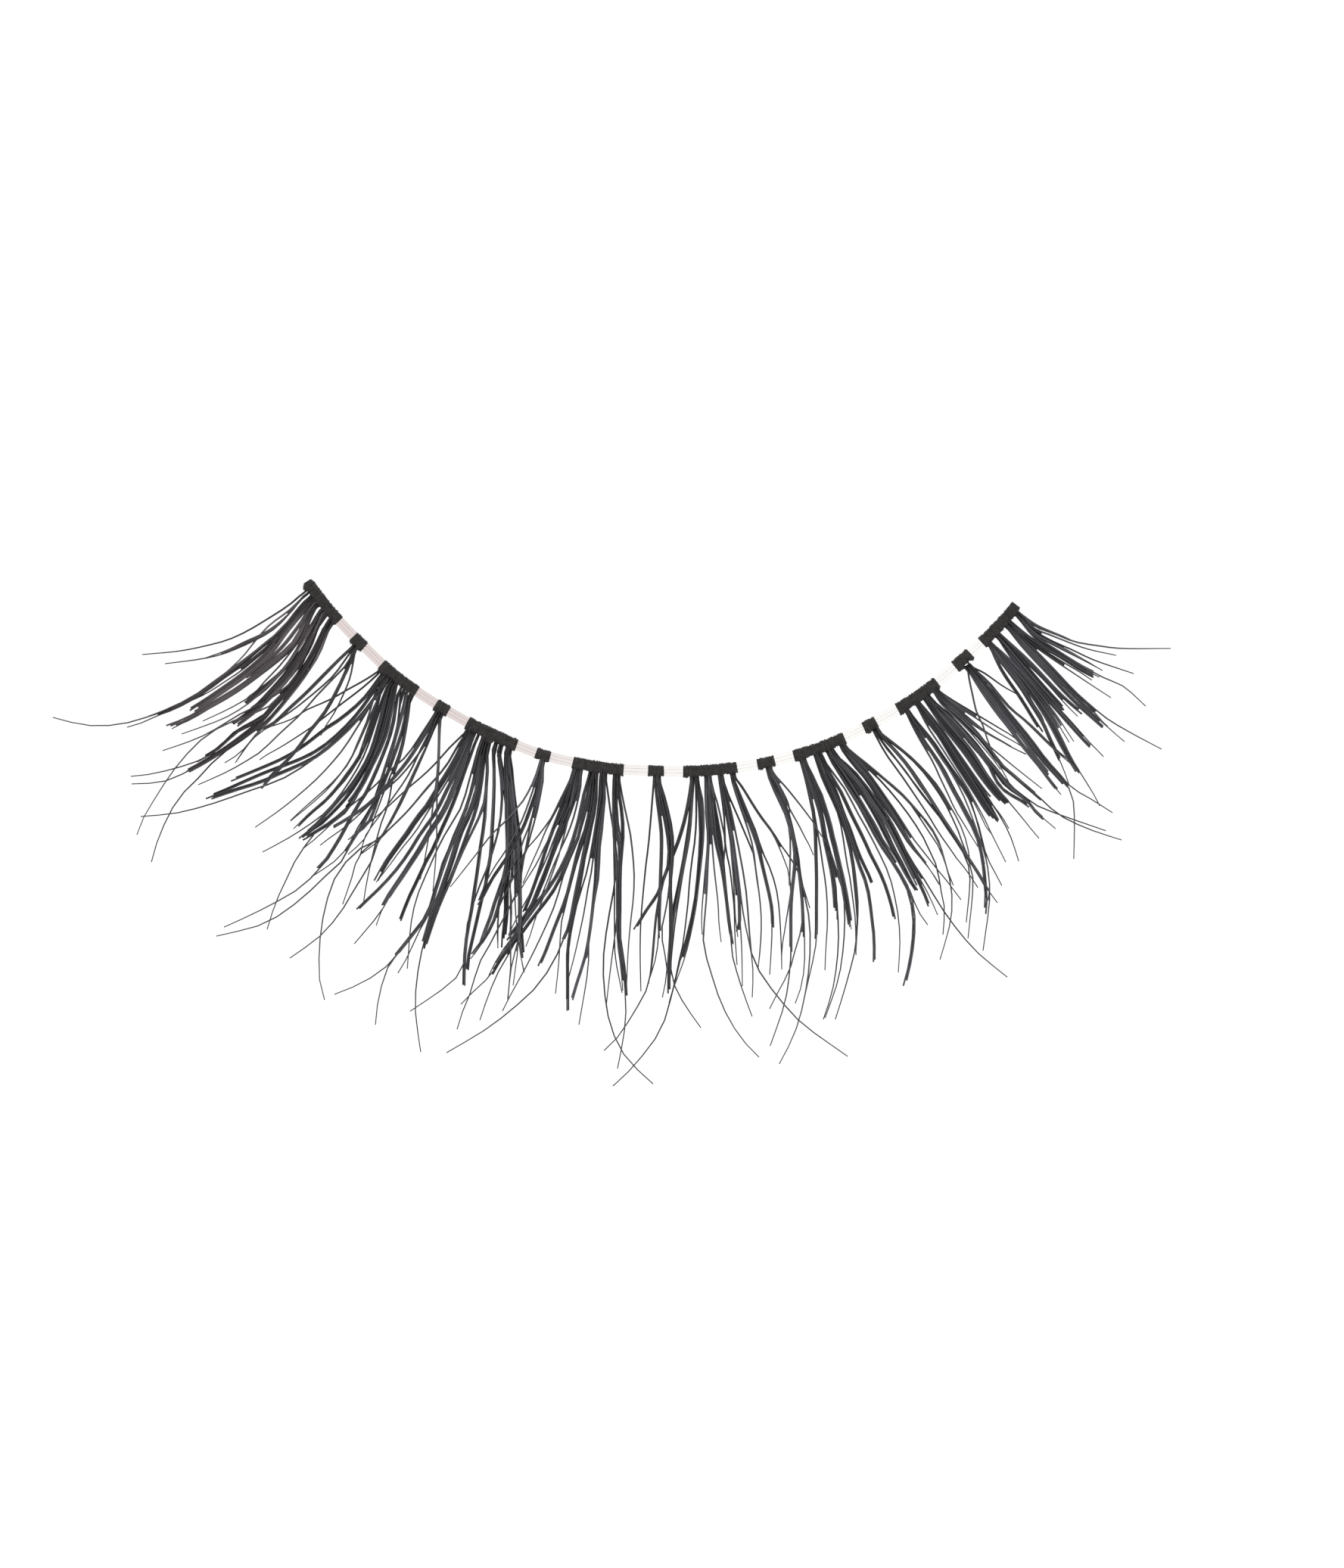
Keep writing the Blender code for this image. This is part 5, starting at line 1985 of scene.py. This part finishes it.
def hair_material(name, dark, sheen, group):
    """Dark hair with a soft gloss, and a painted highlight in its base colour. Hairs differ in tone at
    random, and the tone sets how strongly the sheen colour is painted on, in bluish highlights that come and
    go along them and stay off the roots.
    """
    material, tree, shader = new_material(name)
    tone = tree.nodes.new("ShaderNodeAttribute")
    tone.attribute_name = "tone"
    along = tree.nodes.new("ShaderNodeAttribute")
    along.attribute_name = "along"
    speckle = add_speckle(tree, group, 700.0, 9000.0)
    # Painted highlight: kept off the roots, full from about a fifth of the way along, scaled by each hair's
    # tone and broken into patches.
    middle = add_node(tree, "ShaderNodeMapRange", From_Min=0.02, From_Max=0.22)
    middle.interpolation_type = "SMOOTHSTEP"
    tree.links.new(along.outputs["Fac"], middle.inputs["Value"])
    painted_highlight = tree.nodes.new("ShaderNodeMath")
    painted_highlight.operation = "MULTIPLY"
    tree.links.new(tone.outputs["Fac"], painted_highlight.inputs[0])
    tree.links.new(middle.outputs["Result"], painted_highlight.inputs[1])
    patchy_highlight = tree.nodes.new("ShaderNodeMath")
    patchy_highlight.operation = "MULTIPLY"
    tree.links.new(painted_highlight.outputs["Value"], patchy_highlight.inputs[0])
    tree.links.new(ranged(tree, speckle.outputs["Patches"], 0.2, 1.6), patchy_highlight.inputs[1])
    tree.links.new(colour_mix(tree, patchy_highlight.outputs["Value"], dark, sheen), shader.inputs["Base Color"])
    tree.links.new(ranged(tree, speckle.outputs["Grain"], 0.3, 0.5), shader.inputs["Roughness"])
    add_bump(tree, shader, speckle.outputs["Grain"], 0.1, 0.000005)
    shader.inputs["Specular IOR Level"].default_value = 0.35
    return material


def floor_material(glow):
    """A glowing white floor that is clear from below, so that the strip's underside can be seen."""
    material, tree, shader = new_material("floor_white")
    tree.nodes.remove(shader)
    out = tree.nodes["Material Output"]
    white = add_node(tree, "ShaderNodeEmission", Color=(1.0, 1.0, 1.0, 1.0), Strength=glow)
    clear = tree.nodes.new("ShaderNodeBsdfTransparent")
    side = tree.nodes.new("ShaderNodeNewGeometry")
    mix = tree.nodes.new("ShaderNodeMixShader")
    tree.links.new(side.outputs["Backfacing"], mix.inputs[0])
    tree.links.new(white.outputs["Emission"], mix.inputs[1])
    tree.links.new(clear.outputs["BSDF"], mix.inputs[2])
    tree.links.new(mix.outputs["Shader"], out.inputs["Surface"])
    return material


# The stage.


def make_floor(settings):
    """The pale floor under the strip."""
    bm = bmesh.new()
    bmesh.ops.create_grid(bm, x_segments=1, y_segments=1, size=settings.floor_size / 2)
    bmesh.ops.translate(bm, verts=bm.verts, vec=(0.0, 0.0, -settings.floor_drop))
    mesh = bpy.data.meshes.new("floor")
    bm.to_mesh(mesh)
    bm.free()
    mesh.materials.append(floor_material(settings.floor_glow))
    floor = bpy.data.objects.new("floor", mesh)
    bpy.context.scene.collection.objects.link(floor)


def make_sky(settings):
    """An even pale sky, which the camera sees as white."""
    world = bpy.data.worlds.new("sky")
    world.use_nodes = True
    bpy.context.scene.world = world
    tree = world.node_tree
    dim = tree.nodes["Background"]
    dim.inputs["Color"].default_value = (1.0, 1.0, 1.0, 1.0)
    dim.inputs["Strength"].default_value = settings.sky
    white = (1.0, 1.0, 1.0, 1.0)
    bright = add_node(tree, "ShaderNodeBackground", Color=white, Strength=settings.floor_glow)
    path = tree.nodes.new("ShaderNodeLightPath")
    mix = tree.nodes.new("ShaderNodeMixShader")
    tree.links.new(path.outputs["Is Camera Ray"], mix.inputs[0])
    tree.links.new(dim.outputs["Background"], mix.inputs[1])
    tree.links.new(bright.outputs["Background"], mix.inputs[2])
    tree.links.new(mix.outputs["Shader"], tree.nodes["World Output"].inputs["Surface"])


def make_light(name, place, size, power):
    """A square soft light that points at the middle of the strip."""
    data = bpy.data.lights.new(name, "AREA")
    data.size = size
    data.energy = power
    light = bpy.data.objects.new(name, data)
    light.location = place
    light.rotation_euler = (-Vector(place)).to_track_quat("-Z", "Y").to_euler()
    bpy.context.scene.collection.objects.link(light)


def make_camera():
    """The camera at the photograph's angle: straight down, and turned as the photograph is."""
    data = bpy.data.cameras.new("camera")
    data.lens = LENS
    data.sensor_width = SENSOR
    data.clip_start = 0.01
    data.clip_end = 10.0
    camera = bpy.data.objects.new("camera", data)
    camera.location = (LOOK_AT.x, LOOK_AT.y, CAMERA_HEIGHT)
    camera.rotation_euler = (0.0, 0.0, PHOTO_TURN)
    bpy.context.scene.collection.objects.link(camera)
    bpy.context.scene.camera = camera


# Operators, panel and registration.


def speckle():
    """The shared node group, built once."""
    return bpy.data.node_groups.get("Speckle") or speckle_group()


class EYELASH_OT_threads(Operator):
    """Makes the clear threads"""

    bl_idname = "eyelash.threads"
    bl_label = "Clear threads"

    def execute(self, context):
        settings = context.scene.eyelash.threads
        material = thread_material(settings, speckle())
        template = unit_tube("thread", THREAD_SIDES, THREAD_STEPS)
        for index in range(THREAD_COUNT):
            make_thread(index, settings, material, template)
        return {"FINISHED"}


class EYELASH_OT_knots(Operator):
    """Makes the wound knots"""

    bl_idname = "eyelash.knots"
    bl_label = "Wound knots"

    def execute(self, context):
        settings = context.scene.eyelash.knots
        material = knot_material(settings, speckle())
        fibre = unit_tube("fibre", 3, 1, tip=0.3)
        for knot in KNOTS:
            make_knot(knot, settings, material, fibre)
        return {"FINISHED"}


class EYELASH_OT_hair(Operator):
    """Makes the tufts of hair"""

    bl_idname = "eyelash.hair"
    bl_label = "Hair"

    def execute(self, context):
        settings = context.scene.eyelash.hair
        plain = hair_material("lash_hair_finish", settings.dark, settings.sheen, speckle())
        # The left tuft gets its own painted highlight colour.
        left_sheen = hair_material("lash_hair_faded_finish", settings.dark, settings.left_sheen, speckle())
        template = unit_tube("hair", HAIR_SIDES, HAIR_STEPS)
        for node in STRANDS:
            make_tuft(node, settings, left_sheen if node == "tuft_block_1" else plain, template)
        return {"FINISHED"}


class EYELASH_OT_stage(Operator):
    """Makes the floor, the sky, the light and the camera"""

    bl_idname = "eyelash.stage"
    bl_label = "Stage"

    def execute(self, context):
        settings = context.scene.eyelash.stage
        make_floor(settings)
        make_sky(settings)
        make_light("key_light", (-0.15, 0.25, 0.45), 0.30, settings.key_power)
        make_camera()
        context.scene.view_settings.view_transform = "Standard"
        return {"FINISHED"}


OPERATORS = (EYELASH_OT_threads, EYELASH_OT_knots, EYELASH_OT_hair, EYELASH_OT_stage)


class EYELASH_PT_panel(Panel):
    """Lists the pieces of the strip"""

    bl_idname = "EYELASH_PT_panel"
    bl_label = "Eyelash"
    bl_space_type = "VIEW_3D"
    bl_region_type = "UI"
    bl_category = "Eyelash"

    def draw(self, context):
        for operator in OPERATORS:
            self.layout.operator(operator.bl_idname)


CLASSES = (
    ThreadSettings,
    KnotSettings,
    HairSettings,
    StageSettings,
    EyelashSettings,
    *OPERATORS,
    EYELASH_PT_panel,
)


def register():
    for cls in CLASSES:
        bpy.utils.register_class(cls)
    bpy.types.Scene.eyelash = PointerProperty(type=EyelashSettings)


def unregister():
    del bpy.types.Scene.eyelash
    for cls in reversed(CLASSES):
        bpy.utils.unregister_class(cls)


def main():
    """Makes every piece and the stage."""
    register()
    bpy.ops.eyelash.threads()
    bpy.ops.eyelash.knots()
    bpy.ops.eyelash.hair()
    bpy.ops.eyelash.stage()


if __name__ == "__main__":
    main()
